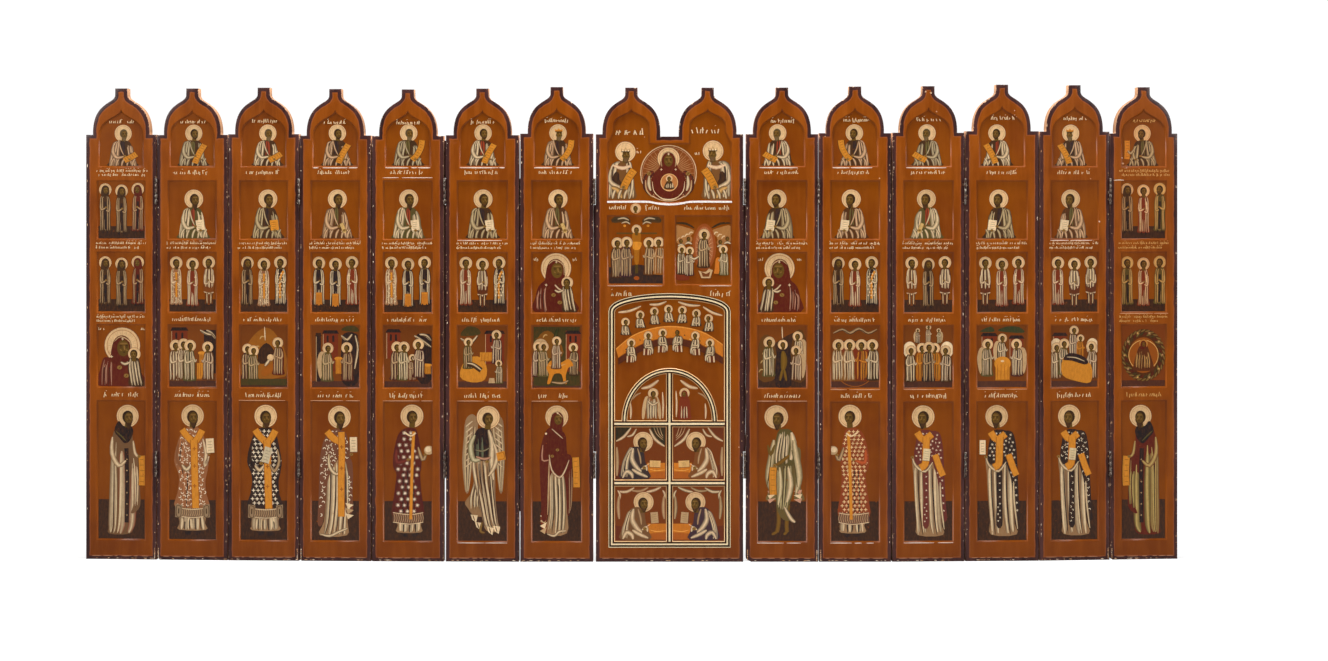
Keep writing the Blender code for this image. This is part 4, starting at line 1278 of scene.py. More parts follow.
def scene_two_before_houses(p):
    hall(p, -15.5, -11.5, 4, 42, NIGHT, EARTH)
    hall(p, -10, 2, 12, 44)
    p.area([(5, 4), (18, 4), (18, 36), (15, 42), (8, 42), (5, 36)], NIGHT, True)
    curtain(p, [(4.6, 40), (9, 36.5), (13, 41)])
    curtain(p, [(15.5, 40), (17.8, 30), (15, 14)])
    p.area([(4.6, 44), (9, 47.4), (16, 47), (18, 43)], lighter(OLIVE, 0.7), True)
    crowd(p, [(-6.4, 4, 1)], 31, wings=True)
    table(p, 0.2, 4.6, 10, 22, 1.4)
    crowd(p, [(9.4, 4.4, -1)], 31, srgb(82, 40, 30), STRAW)


def scene_on_the_steps(p):
    hall(p, -17, -6, 22, 45)
    p.area([(7, 6), (18.6, 6), (18.6, 38), (12, 41), (6, 38)], NIGHT, True)
    curtain(p, [(5, 40), (11, 36), (18, 31)])
    curtain(p, [(9, 41), (14, 40), (18, 36)])
    table(p, 11, 18, 10, 17, 1.2)
    crowd(p, [(-9.2, 5, 1), (-3.6, 5, 1)], 31)
    crowd(p, [(3.2, 5, 1)], 21, WINE)
    crowd(p, [(8.6, 7, -1)], 31)


def scene_bedside(p):
    hall(p, 2, 17, 18, 44)
    p.area([(-17, 40), (-12, 47), (-4, 46), (-2, 41)], lighter(OLIVE, 0.7), True)
    curtain(p, [(-17, 38), (-10, 34), (-4, 40)])
    p.area([(-17.5, 8), (-14, 20), (-4, 24), (3, 17), (2, 6), (-8, 3.6)], ORANGE, True)
    table(p, -2, 8, 20, 27)
    crowd(p, [(-11.4, 14, 1)], 25, cloak=STRAW)
    p.bar([(-12, 18), (-7, 17), (-1, 13)], 4, SHADE)
    p.light([(-12, 18.6), (-7, 17.6), (-1, 13.2)], 1.6)
    crowd(p, [(11.4, 18, -1)], 27)
    crowd(p, [(13, 2.6, -1)], 19)
    p.area([(4.6, 3), (10, 3), (9.2, 7), (5.4, 7)], STRAW)


def scene_rider(p):
    block(p, -18, 18, 1, 47, lighter(OLIVE, 0.62))
    rock(p, [(-18, 24), (-15, 38), (-7, 44), (2, 36), (4, 24)], SAND, srgb(132, 80, 26))
    hall(p, 7, 18.4, 12, 44, RUST)
    p.stroke([(0, 28), (-1, 38), (1, 46)], 3, srgb(50, 60, 30), srgb(30, 40, 20))
    p.disc(-12.6, 31.5, 5.8, 6.2, STRAW)
    crowd(p, [(-15, 8, 1), (-10.6, 8, 1)], 28)
    crowd(p, [(13.4, 9, -1)], 26)
    hide = srgb(206, 124, 34)
    mount = [(-8, 15), (-4, 21), (3, 19), (9, 22), (13, 17), (9, 15), (7, 8), (8, 3), (5.6, 3)]
    p.area(mount + [(3.6, 10), (-2, 10), (-5, 3), (-7.4, 3), (-6, 10)], hide, True)
    p.stroke([(-6, 17), (0, 16), (7, 18)], 1, SAND, hide)
    crowd(p, [(-0.4, 14, 1)], 26)
    p.stroke([(-4, 4), (4, 3), (9, 5)], 2, STRAW, SHADE)


WET_FLESH = srgb(128, 92, 30)


def scene_river(p):
    p.area([(-18, 1), (18, 1), (18, 40), (8, 42), (-6, 34), (-18, 30)], lighter(EARTH, 1.1), True)
    left = [(-18, 6), (-18, 34), (-11, 41), (-5, 30), (-4, 8)]
    for bank in (left, [(18, 6), (18, 40), (11, 44), (7, 30), (6, 8)]):
        rock(p, bank, SAND, srgb(96, 60, 26))
    p.stroke([(0, 47), (0.4, 38)], 0.7, CREAM)
    p.area([(-5, 1.2), (7, 1.2), (6, 30), (0, 34), (-4, 26)], NIGHT, True)
    crowd(p, [(-10.4, 8, 1)], 32)
    p.halo(0.6, 33, 3.8)
    p.stroke([(0.8, 28), (1.6, 20), (0.6, 13)], 4.6, WET_FLESH, SKIN)
    p.stroke([(0.4, 14), (-1.6, 5)], 2, WET_FLESH, SKIN)
    p.stroke([(1.6, 14), (3.4, 5)], 2, WET_FLESH, SKIN)
    p.head(0.8, 32.6, 1.9, -0.3, HAIR, 0.6)
    crowd(p, [(12.6, 16, -1), (11.4, 5, -1)], 28, wings=True)


def scene_four_before_a_wall(p):
    hall(p, -16, 16, 10, 36, RUST, EARTH)
    curtain(p, [(-17, 42), (-10, 45), (-4, 42), (3, 45.5), (10, 42), (17, 45)], STRAW)
    p.ring(0, 16, 15.5, 0.5, TAWNY, 180, 360)
    crowd(p, [(-13.4, 5, 1), (-4.8, 5, 1)], 33, srgb(130, 84, 40))
    crowd(p, [(5.6, 5, -1)], 33, RUST, ORANGE)
    crowd(p, [(14, 5, -1)], 33)


def scene_gathering(p):
    crowd(p, [(-8.4, 34, 1)], 12, wings=True)
    crowd(p, [(0, 34, 1)], 15)
    crowd(p, [(8.4, 34, -1)], 12, wings=True)
    for side in (-1, 1):
        p.disc(side * 14.6, 29, 5, 6.4, CREAM)
    crowd(p, [(-5.4, 5, 1), (5.4, 5, -1)], 30, TAWNY, ORANGE)
    crowd(p, [(0, 4, 1)], 32, NIGHT, STRAW)
    crowd(p, [(-14, 4, 1), (14, 4, -1)], 29)


def scene_three_winged(p):
    hall(p, -16, -4, 24, 42)
    hall(p, 6, 17, 22, 40)
    for leaves_of_tree in ([(-17.5, 43), (-9, 47), (-6, 43)], [(-3, 43.5), (4, 47), (14, 46.4), (17, 42)]):
        p.area(leaves_of_tree, srgb(54, 62, 36), True)
    crowd(p, [(0, 16, 1)], 26, wings=True)
    crowd(p, [(-11.6, 8, 1)], 30, wings=True)
    crowd(p, [(12, 8, -1)], 30, wings=True)
    table(p, -5, 6, 5, 18, 5.6)
    p.disc(0.4, 20, 1.4, 0.8, CREAM, 10)


def scene_bier(p):
    hall(p, -17, -6, 20, 42)
    p.stroke([(0, 46.5), (0, 44)], 0.6, CREAM)
    for side in (-1, 1):
        p.disc(side * 14.4, 31, 4.8, 6.6, CREAM)
    crowd(p, [(-0.6, 22, 1)], 26)
    crowd(p, [(4.6, 20, 1)], 21, TAWNY, ORANGE)
    crowd(p, [(-14.6, 6, 1), (-8.6, 9, 1)], 29)
    crowd(p, [(14, 6, -1)], 30)
    p.area([(-9.6, 9), (-9, 22), (0, 24), (13, 17), (13, 3.4), (2, 4)], ORANGE, True)
    p.area([(-9, 21), (-4, 26), (6, 24), (11, 19), (8, 17), (-2, 20)], NIGHT, True)
    p.stroke([(-6, 23), (1, 22.4), (8, 19.6)], 1, CREAM, NIGHT)


def scene_wreath(p):
    """A small half figure in a wreath of leaves, in worn ochre."""
    p.disc(0, 24, 17.4, 20.6, srgb(82, 46, 18))
    greens = srgb(120, 112, 60), srgb(96, 36, 20), srgb(70, 66, 34)
    for n in range(30):
        a = radians(12 * n)
        across, along_it = 1.9 * sin(a + 0.6), 1.9 * cos(a + 0.6)
        for reach, tint in ((0, greens[n % 3]), (2.4, srgb(134, 110, 56))):
            x, z = (14 + reach) * cos(a + 0.05 * reach), 24 + (16.8 + reach) * sin(a + 0.05 * reach)
            p.stroke([(x - across, z + along_it), (x + across, z - along_it)], 2, tint, EARTH)
        if n % 3 == 0:
            p.motif(15.2 * cos(a), 24 + 18.2 * sin(a), "flower", SAND if n % 2 else STRAW, 1.5)
    p.disc(0, 24, 11.6, 14, srgb(150, 84, 24))
    p.ring(0, 24, 11.8, 0.6, SAND)
    cloth = srgb(84, 44, 22)
    p.robe([(32, -2.4, 2.4), (26, -5.4, 5), (16, -8, 8), (12, -7, 7)], cloth)
    p.halo(0, 33, 3.4, srgb(190, 136, 58))
    p.head(0, 32.6, 1.9, 0.2, HAIR, 0, None, WINE)
    p.folds([(27, -5, 5), (20, -7, 7), (13, -7, 7)], 0.05, 0.95, 6, SAND, cloth, 0.5)


def framed_scene(p, low, scene, aged=1):
    half = p.leaf.width / 2 - 9.5
    p.at(0, 0, 1, 1, aged)
    earth_strip(p, half, low + 0.9, low + 50.4, srgb(118, 60, 18))
    earth_strip(p, half, low + 0.9, low + 6, srgb(78, 46, 36))
    p.at(0, low + 1.5, 1.03, 1, aged)
    scene(p)


SECOND_ROW = {
    2: ("book", 1), 3: ("none", 3.2), 4: ("roll", 1.5), 5: ("book", 0.5), 6: ("book", 0.5), 7: ("roll", 1),
    9: ("book", -4), 10: ("book", -3), 11: ("roll", -1.5), 12: ("book", -2.5), 13: ("book", -3),
}
TOP_ROW = {
    1: (1.3, "low scroll"), 2: (1, "scroll"), 3: (3.2, "low scroll"), 4: (1.5, "scroll"),
    5: (0.5, "tall scroll"), 6: (0.5, "scroll"), 7: (1, "tall scroll"), 9: (-3.5, "low scroll"),
    10: (-0.5, "tall scroll"), 11: (-1, "low scroll"), 12: (-4, "scroll"), 13: (-3, "scroll"),
    14: (-1, "hanging scroll"),
}
THREES = {
    1: ("monk", "monk", "abbess"), 2: ("brocade", "martyr", "pilgrim"), 3: ("monk", "brocade", "bishop"),
    4: ("writer", "writer", "martyr"), 5: ("brocade", "writer", "writer"), 6: ("martyr", "soldier", "bishop"),
    10: ("monk", "martyr", "bishop"), 11: ("pilgrim", "monk", "soldier"), 12: ("soldier", "martyr", "martyr"),
    13: ("martyr", "soldier", "soldier"), 14: ("prince", "martyr", "prince"),
}
UPPER_THREES = {1: ("monk", "monk", "abbess"), 14: ("monk", "martyr", "prince")}
SHORT_TITLES = ((-14, 12, 311, 2.7), (-20.5, 20, 254.6, 1.7), (-20.5, 15, 251, 1.7), (-16, 15, 192.6, 2.7))
LONG_TITLES = ((-20, 21, 312.9, 1.9), (-18, 21, 309.6, 1.9), (-20.5, 20, 254.6, 1.7), (-20.5, 15, 251, 1.7),
               (-20, 19, 195.2, 1.7), (-20, 12, 191.8, 1.7))
SCENES = {
    2: scene_at_the_table, 3: scene_in_the_cave, 4: scene_two_before_houses, 5: scene_on_the_steps,
    6: scene_bedside, 7: scene_rider, 9: scene_river, 10: scene_four_before_a_wall, 11: scene_gathering,
    12: scene_three_winged, 13: scene_bier, 14: scene_wreath,
}


# ---- The worn paint and the painted highlights on the lips
# Chips and split lower corners, where the ground has come off the wood with years of folding and carrying.
# Each is a flat spot of bare wood colour on the front, where the real leaf has one. Pale strokes along some
# lips of the sunken fields are painted highlights, where light catches the lips.
LOSSES = {
    2: ((-15.1, 312.1, 1.1),), 8: ((-56, 150, 0.9), (55.6, 92, 1), (-20, 340.6, 0.8)),
    10: ((19.5, 307.5, 1.3), (-24, 341, 1)), 11: ((6.4, 361, 1.2), (2, 376, 1.6), (-2.4, 377, 1.3)),
    12: ((10, 362, 0.8), (11.6, 357, 0.7)), 13: ((20.1, 272.7, 1.3), (12.9, 307.2, 0.9)),
    14: ((-17.2, 319.6, 1.8), (-14.4, 316, 1.2), (-18, 324, 0.9)),
}
SPLIT_CORNERS = {1: (1,), 2: (-1,), 3: (1,), 4: (-1,), 9: (-1, 1), 10: (-1,), 13: (1,), 14: (-1,)}
# Heights of the lips that get a painted highlight, leaf by leaf.
LIP_HIGHLIGHTS = {
    3: (128.9,), 4: (316, 128.9), 5: (316, 308, 128.9), 6: (316, 257.6, 128.9, 15.1), 7: (316, 128.9),
    9: (316, 128.9, 15.1), 10: (316, 138.1, 15.1), 11: (316, 138.1, 15.1), 12: (138.1,), 13: (257.6,),
    14: (198.6,),
}


def lip_highlights(p):
    """Painted highlights: pale strokes along lips of the sunken fields, where light catches their edge."""
    for z in LIP_HIGHLIGHTS.get(p.leaf.number, ()):
        half = 18 if z > 310 else 20
        pale = srgb(246, 226, 208) if z > 250 or z < 20 else srgb(214, 160, 120)
        x = -half
        while x < half - 4:
            reach = p.vary(4, 2 * half)
            p.stroke([(x, z), (min(x + reach, half), z)], 0.75 if z > 310 else 0.5, pale)
            x += reach + p.vary(0.5, 4)


def chip(p, x, z, wide, tall):
    """Bare wood where the ground has flaked off."""
    edge = [(radians(45 * n), p.vary(0.55, 1.15)) for n in range(8)]
    wood = (srgb(222, 178, 138), srgb(198, 148, 106), srgb(240, 214, 186))[p.chance.randrange(3)]
    p.area([(x + wide * r * cos(a), z + tall * r * sin(a)) for a, r in edge], wood)


def wear_and_lip_highlights(p):
    """Chips along the edges and small losses in the face, with the painted highlights along the lips."""
    p.on(0)
    # Painted highlights along the lips.
    lip_highlights(p)
    half, top = p.leaf.width / 2 - 1.1, p.leaf.sill - 3
    for n in range(24):
        z = p.vary(3, top)
        chip(p, p.chance.choice((-half, half)), z, p.vary(0.15, 0.4), p.vary(0.3, 1.3))
    for n in range(9):
        chip(p, p.vary(-half, half), 1.1, p.vary(0.4, 1.6), p.vary(0.2, 0.4))
    for side in SPLIT_CORNERS.get(p.leaf.number, ()):
        for n in range(6):
            chip(p, side * (half - 0.1), 1.6 + 1.5 * n, p.vary(0.3, 0.6), p.vary(0.5, 1))
    # A broken pale line along the foot, just above the dark border.
    x = -half + 4
    while x < half - 8:
        reach = p.vary(2, 9)
        p.stroke([(x, 2.9), (x + reach, 2.9)], 0.35, srgb(196, 140, 100))
        x += reach + p.vary(0.5, 5)
    for x, z, size in LOSSES.get(p.leaf.number, ()):
        chip(p, x, z, size * 0.6, size * 0.5)
    if p.leaf.number == 14:
        p.stroke([(-25, 306), (-20, 306.3), (-16.6, 306)], 0.6, srgb(240, 214, 186))


def paint_narrow(leaf):
    """The five fields of a narrow leaf from the foot up, its titles, its wear and its painted lip highlights.
    """
    p = Painting(leaf)
    number, side = leaf.number, 1 if leaf.number < CENTRE else -1
    aged, end_leaf = 0.82 if number == 14 else 1, number in (1, 14)
    earth_strip(p, leaf.width / 2 - 9.6, 16.5, 48.3)
    x, figure, *dress = STANDING[number]
    p.at(x, 19.6, 1, side)
    figure(p, *dress)
    p.on(FIELD_DEPTH)
    if number == 1:
        veiled_mother(p, 0.6, 138.5, 1.1, 13.2, 5.4, 1)
    else:
        framed_scene(p, 138.5, SCENES[number], aged)
    p.on(FIELD_DEPTH)
    if number in (7, 9):
        veiled_mother(p, -0.5 if number == 7 else -2, 199, 1, 12, 0, side)
    else:
        row_of_three(p, 199, THREES[number], aged)
    p.on(FIELD_DEPTH)
    if end_leaf:
        row_of_three(p, 258, UPPER_THREES[number], aged)
    else:
        holds, x = SECOND_ROW[number]
        p.at(x, 258.9, 1, side)
        p.half_figure(robe=(SHADE, srgb(84, 50, 26), OLIVE)[number % 3],
                      inner=(NIGHT, OLIVE, RUST)[number % 3],
                      cloak=(srgb(206, 178, 130), srgb(226, 180, 134), CREAM)[number % 3],
                      beard=0.5 + 0.4 * (number % 3), holds=holds)
    p.on(FIELD_DEPTH)
    x, holds = TOP_ROW[number]
    p.at(x, 317.3, 0.83, side, aged)
    p.half_figure(cloak=(CREAM, srgb(222, 176, 132), srgb(204, 180, 138))[number % 3],
                  inner=(RUST, NIGHT, OLIVE)[number % 3], hair=srgb(92, 74, 48) if number % 2 else HAIR,
                  beard=1 if number % 2 else 0.3, holds=holds, crown=ORANGE if number in (7, 13) else None,
                  halo=8.4, broad=1.14)
    p.on(0, 0, 0, 1, 1, aged)
    tint = SAND if number == 14 else CREAM
    p.writing(-9, 10, leaf.sill + 9.3, 2.6, tint, 0.1)
    for start, end, z, tall in LONG_TITLES if end_leaf else SHORT_TITLES:
        p.writing(start, end, z, tall, tint)
    for start, end in ((-14, -8), (2, 9)) if number == 7 else ((-14, 14),):
        p.writing(start, end, 131.6, 3.1, tint, 0.05)
    wear_and_lip_highlights(p)
    p.finish(tempera)


for number, leaf in leaves.items():
    if not leaf.wide:
        paint_narrow(leaf)


# ---- The centre leaf's paintings
# Two crowned half figures and a rayed disc in the top field, two scenes under them, and painted doors with
# four writers, two figures at the arch and a long table in the head, all in the same tempera.


def crowned_prophet(p):
    """A crowned figure to the waist with an open scroll."""
    p.halo(3, 38.2, 8.1)
    rows = [(30.5, -2, 6.5), (27.5, -8, 8), (20, -10, 9.4), (10, -10.4, 10.4), (0.4, -10.6, 10.8)]
    p.robe(rows, srgb(120, 78, 40))
    p.folds(rows, 0, 0.3, 2, CREAM, SHADE, 0.9)
    p.folds(rows, 0.72, 1, 2, CREAM, SHADE, 0.8)
    p.stroke([(-7, 27.4), (0.5, 25), (7.4, 27)], 2.6, CREAM, PINK)
    p.stroke([(-3.6, 22), (-4.6, 15.5), (-1, 12)], 5, SHADE, NIGHT)
    p.light([(-8.8, 24), (-9.4, 15), (-4, 10.6), (1.6, 9)], 3.6)
    p.stroke([(-8, 9.6), (-3, 7), (0, 1)], 4.4, srgb(222, 168, 96), SHADE)
    for x in (-7.4, -2.6, 2, 6):
        p.light([(x, 0.6), (x + 0.8, 4.4), (x + 2.4, 7.6)], 2.4)
    p.light([(8.8, 18), (8.4, 9), (6.4, 0.8)], 2.4)
    p.scroll([(10, 23.6), (6, 18), (2.6, 11.4), (1.6, 8.4)], 6)
    p.hand(1.4, 9.8, 1.7)
    p.head(3.2, 36.4, 3.7, 0.35, srgb(86, 64, 40), 0.9, srgb(216, 170, 112))
    for x in (-2.2, 0, 2.2):
        p.disc(3.2 + x, 39.2, 0.7, 0.8, CREAM, 8)


def rayed_disc(p):
    """A veiled woman with raised hands and a small figure in a medallion, in a rayed disc."""
    p.disc(0, 22.6, 22.6, 22.6, srgb(132, 68, 28), 56)
    for n in range(64):
        a = 2 * pi * n / 64
        ends = [(r * cos(a), 22.6 + r * sin(a)) for r in (9, 20.6 - 2.4 * (n % 2))]
        p.stroke(ends, 0.42, srgb(214, 166, 112), srgb(140, 78, 38))
    p.ring(0, 22.6, 22.3, 0.7, srgb(226, 186, 140))
    p.ring(0, 22.6, 20.9, 0.3, srgb(206, 150, 106))
    p.halo(0, 34.4, 8.8)
    for side in (-1, 1):
        p.stroke(turned(side, (12, 24), (17, 19), (17.4, 11), (13, 4.6)), 5.4, RUST, NIGHT)
        p.light(turned(side, (15.4, 20.4), (15.8, 14), (14.4, 8.6)), 3)
        p.stroke(turned(side, (18.4, 17), (17.6, 9), (12.8, 3.4)), 1, STRAW)
        p.hand(side * 15.6, 22.2, 1.9)
    halves = ((33, 4.6), (27, 7.4), (22, 12), (15, 14), (7, 12.4), (1.4, 6.4))
    p.robe([(z, -half, half) for z, half in halves], WINE)
    p.stroke([(-13, 16), (-11.6, 8), (-5, 2.2), (5, 2.2), (11.6, 8), (13, 16)], 0.7, CREAM)
    p.stroke([(-10.6, 6), (-4, 1.2), (4, 1.2), (10.6, 6)], 0.6, STRAW)
    p.head(0, 33, 4.7, 0, SKIN, 0, None, WINE)
    p.bar([(-5.4, 28), (-5.8, 34), (-2.6, 39), (2.6, 39), (5.8, 34), (5.4, 28)], 0.5, STRAW)
    for x, z in ((0, 38), (-5.8, 25.6), (5.8, 25.6)):
        p.motif(x, z, "cross", CREAM, 0.9)
    p.disc(0.6, 15.2, 7, 7.2, srgb(188, 116, 60))
    p.ring(0.6, 15.2, 6.7, 0.5, srgb(232, 184, 122))
    p.halo(0.6, 18.4, 2.7)
    p.robe([(16.4, -0.8, 2), (14, -2.6, 3.6), (10, -3.2, 4.4)], SHADE)
    p.folds([(15, -2, 3.4), (10.6, -3, 4.2)], 0, 1, 4, CREAM, SHADE, 0.8)
    p.head(0.6, 18, 1.5, 0)


def scene_cross(p):
    """Painted in a field 45 wide and 54 high, measured from its lower left corner."""
    p.area([(0, 0), (44.6, 0), (44.6, 13), (24, 15), (0, 13)], srgb(54, 40, 36))
    for side in (-1, 1):
        cloud = [(22 + side * 20, 50), (22 + side * 12, 52), (22 + side * 5, 49)]
        p.stroke(cloud, 5.6, srgb(66, 54, 36), srgb(90, 60, 30))
        p.light([(22 + side * 15, 51.6), (22 + side * 10, 52.4), (22 + side * 6, 50.6)], 1.6)
        p.light([(22 + side * 12, 48.2), (22 + side * 8, 49.4), (22 + side * 5, 47.4)], 1.4)
        p.disc(22 + side * 9.4, 46.2, 1.2, 1, ORANGE, 8)
    block(p, 21, 23.4, 8, 45, srgb(82, 64, 28))
    block(p, 6, 38.6, 39.6, 40.8, srgb(92, 70, 30))
    p.halo(22.2, 43.2, 3.9)
    body = [(40.4, 19.4, 25), (36, 18.6, 25.6), (31, 19, 25.2), (26, 20, 24.4), (16, 20.8, 23.8)]
    p.robe(body, srgb(160, 96, 22))
    p.robe([(33, 18.6, 25.8), (29, 18.8, 25.6), (27, 20.4, 24)], ORANGE)
    for x in (17, 18.6, 26.4, 28):
        p.stroke([(x, 34), (x + 0.4, 18)], 0.7, TAWNY, srgb(140, 70, 20))
    p.head(22.2, 42.4, 2, 0)
    p.disc(22.2, 4.2, 2.2, 1.6, srgb(150, 70, 24))
    crowd(p, [(6.2, 4.6, 1)], 33, srgb(70, 40, 26))
    crowd(p, [(13.8, 5.2, 1)], 33, srgb(60, 34, 44), STRAW)
    crowd(p, [(32.6, 6.6, -1)], 31)
    crowd(p, [(40.4, 7, -1)], 31, srgb(150, 86, 30))


def scene_rays(p):
    """Painted in a field 45 wide and 54 high, measured from its lower left corner."""
    for side in (-1, 1):
        cliff = ((22.4, 34), (22.4, 46), (14, 45), (7, 42), (11, 37), (14, 31))
        rock(p, [(22 + side * x, z) for x, z in cliff], CREAM, srgb(176, 120, 66))
        bush = [(22 + side * 22, 48.4), (22 + side * 14, 48), (22 + side * 7, 44.4)]
        p.stroke(bush, 1.6, srgb(56, 50, 26), EARTH)
    p.disc(23, 29, 9.4, 19, srgb(150, 74, 30))
    p.disc(23, 29, 7.4, 16.6, srgb(176, 104, 62))
    for n in range(26):
        a = 2 * pi * n / 26
        ends = [(23 + r * 7 * cos(a), 29 + r * 16 * sin(a)) for r in (0.45, 0.96)]
        p.stroke(ends, 0.36, srgb(222, 160, 112))
    for x, z in ((4.4, 33.6), (10.4, 35.4), (36, 33), (41.6, 35.6)):
        p.disc(x, z, 3, 3, srgb(166, 110, 60))
        p.head(x, z, 1.5, 0.2)
        p.stroke([(x - 2.6, z - 3.6), (x, z - 2.6), (x + 2.6, z - 3.8)], 2, CREAM, NIGHT)
    p.robe([(14, 0.4, 9), (9, 0.4, 9.6), (3, 0.6, 10.6)], RUST)
    crowd(p, [(4.6, 7, 1), (11, 6, 1)], 24)
    p.robe([(20, 32.4, 36), (12, 31.4, 36.4), (8, 31, 36)], srgb(200, 112, 36))
    crowd(p, [(38.6, 6.4, -1)], 25)
    crowd(p, [(22.4, 12.4, 1)], 32)
    p.light([(19, 22), (15, 19.6), (11.8, 21.2)], 1.8)
    stone = [(18.4, 10.2), (20.6, 4.2), (27.8, 4.2), (29.8, 10.6), (26.6, 12), (24.4, 9.4), (21.6, 9.2)]
    p.area(stone, STRAW)
    p.area([(20.4, 9.4), (21.8, 5.4), (26.8, 5.4), (27.8, 9.4), (24.4, 7.6)], srgb(110, 60, 30))


def seated(p, x, z, facing, halo=True, seat=False):
    """One of those round the long table."""
    p.at(x, z, 1, facing)
    if seat:
        p.area([(-3.6, -15.4), (3, -15.4), (3.6, -7), (-4.4, -6.4)], srgb(96, 42, 26))
        for n in (-2.8, 0.4):
            p.bar([(n, -9), (n - 0.4, -15.6)], 1.5, CREAM, srgb(150, 96, 66))
    if halo:
        p.halo(0, 0, 3.4)
    rows = [(-2.4, -1.4, 1.4), (-4.6, -3, 3), (-8, -3.6, 4), (-10.4, -3.6, 4.6)]
    p.robe(rows, SHADE)
    p.folds(rows, 0.05, 0.95, 3, CREAM, SHADE, 0.8, 0.12)
    p.light([(-2.4, -5), (-1.4, -8), (2.4, -7.4)], 1.4)
    if seat:
        p.light([(-1, -9.4), (3, -10), (3.4, -14.6)], 1.8)
        p.light([(0, -10.4), (2, -12), (1.6, -15.6)], 1.2)
    p.head(0.4, -0.3, 1.7, 0.3)


def long_table(p):
    """The long bent table with those who sit round it, in the head of the doors."""
    outer = [(-43, 171), (-30, 181.4), (-15, 187.2), (0.5, 189.2), (16, 187.6), (30, 183), (42.8, 174.4)]
    inner = [(-41, 163.4), (-30, 170.4), (-15, 177), (0.5, 179.4), (16, 177.4), (30, 171.6), (42.8, 163.8)]
    swags = ((-41, -23, 200, 205), (-16, -2.5, 206.4, 208.8), (7, 24.6, 208.4, 205.6),
        (27, 42.4, 204.4, 197.6))
    for x0, x1, z0, z1 in swags:
        p.stroke([(x0, z0), ((x0 + x1) / 2, (z0 + z1) / 2 - 1.2), (x1, z1)], 2.4, CREAM, srgb(170, 112, 70))
        p.stroke([(x0, z0 + 1), ((x0 + x1) / 2, (z0 + z1) / 2), (x1, z1 + 0.4)], 0.5, SHADE)
    behind = ((-35.3, 192.2), (-23.6, 198), (-12.2, 200.8), (10.3, 201.8), (21.6, 199.2), (31.4, 195.2),
        (-0.9, 202.6))
    for x, z in behind:
        seated(p, x, z, -1 if x > 0 else 1)
    p.at()
    p.ribbon(flowing(outer), flowing(inner), srgb(206, 118, 34))
    p.ribbon(flowing(outer), [point - Vector((0, 1)) for point in flowing(outer)], srgb(228, 146, 60))
    p.ribbon(flowing(inner), [point + Vector((0, 0.6)) for point in flowing(inner)], TAWNY)
    p.ribbon([point - Vector((0, 5.4)) for point in flowing(inner)], flowing(inner), srgb(84, 40, 24))
    for n in range(22):
        x = p.vary(-36, 38)
        z = 184 - 0.0096 * x * x + p.vary(-3, 3)
        p.disc(x, z, 0.6, 0.5, srgb(236, 180, 96) if n % 3 else SHADE, 8)
    for x, z in ((-30.8, 175.6), (-17.2, 181.4), (-5.5, 183.6), (6.5, 184), (20.7, 181.4), (32.5, 175.6)):
        seated(p, x, z, -1 if x > 0 else 1, z < 184, True)


def drapes(p, tint, edge):
    """Two swags over a writer, measured from the cell's lower outer corner."""
    p.area([(0.4, 30.4), (6, 33.6), (11.6, 39), (13.4, 42.4), (0.4, 42.4)], tint)
    p.stroke([(0.8, 30.8), (7, 34.4), (12.8, 41.6)], 2.2, CREAM, edge)
    p.area([(28.4, 42.4), (30.4, 36), (35, 30.4), (40, 27.4), (40, 42.4)], tint)
    p.stroke([(27.6, 40.6), (32, 32.4), (39.6, 26.6)], 2.4, CREAM, edge)
    for n in range(3):
        p.stroke([(31 + 2.4 * n, 42), (33.4 + 2 * n, 36.4), (38.6, 31.6 + 1.6 * n)], 0.5, STRAW)
    p.stroke([(1.4, 26), (1.8, 14), (1.4, 3)], 2.6, STRAW, edge)
    p.stroke([(9.6, 34.4), (14, 35.8), (17, 40.6)], 1.8, CREAM, edge)


def hangings(p, edge):
    """Looped cloths along the top of a lower cell."""
    p.stroke([(2, 38.8), (9, 38.4), (15, 41.6)], 2.2, CREAM, edge)
    p.stroke([(13, 39.4), (20, 39), (26, 41.8)], 2, STRAW, edge)
    p.stroke([(24, 38.2), (30, 39.4), (36, 42)], 2.2, CREAM, edge)
    for x in (2.6, 38):
        p.stroke([(x - 0.6, 39.6), (x + 1.2, 36), (x, 30)], 1.8, CREAM, edge)
        p.stroke([(x + 0.4, 35), (x - 0.2, 26), (x + 0.6, 17)], 2.6, STRAW, edge)


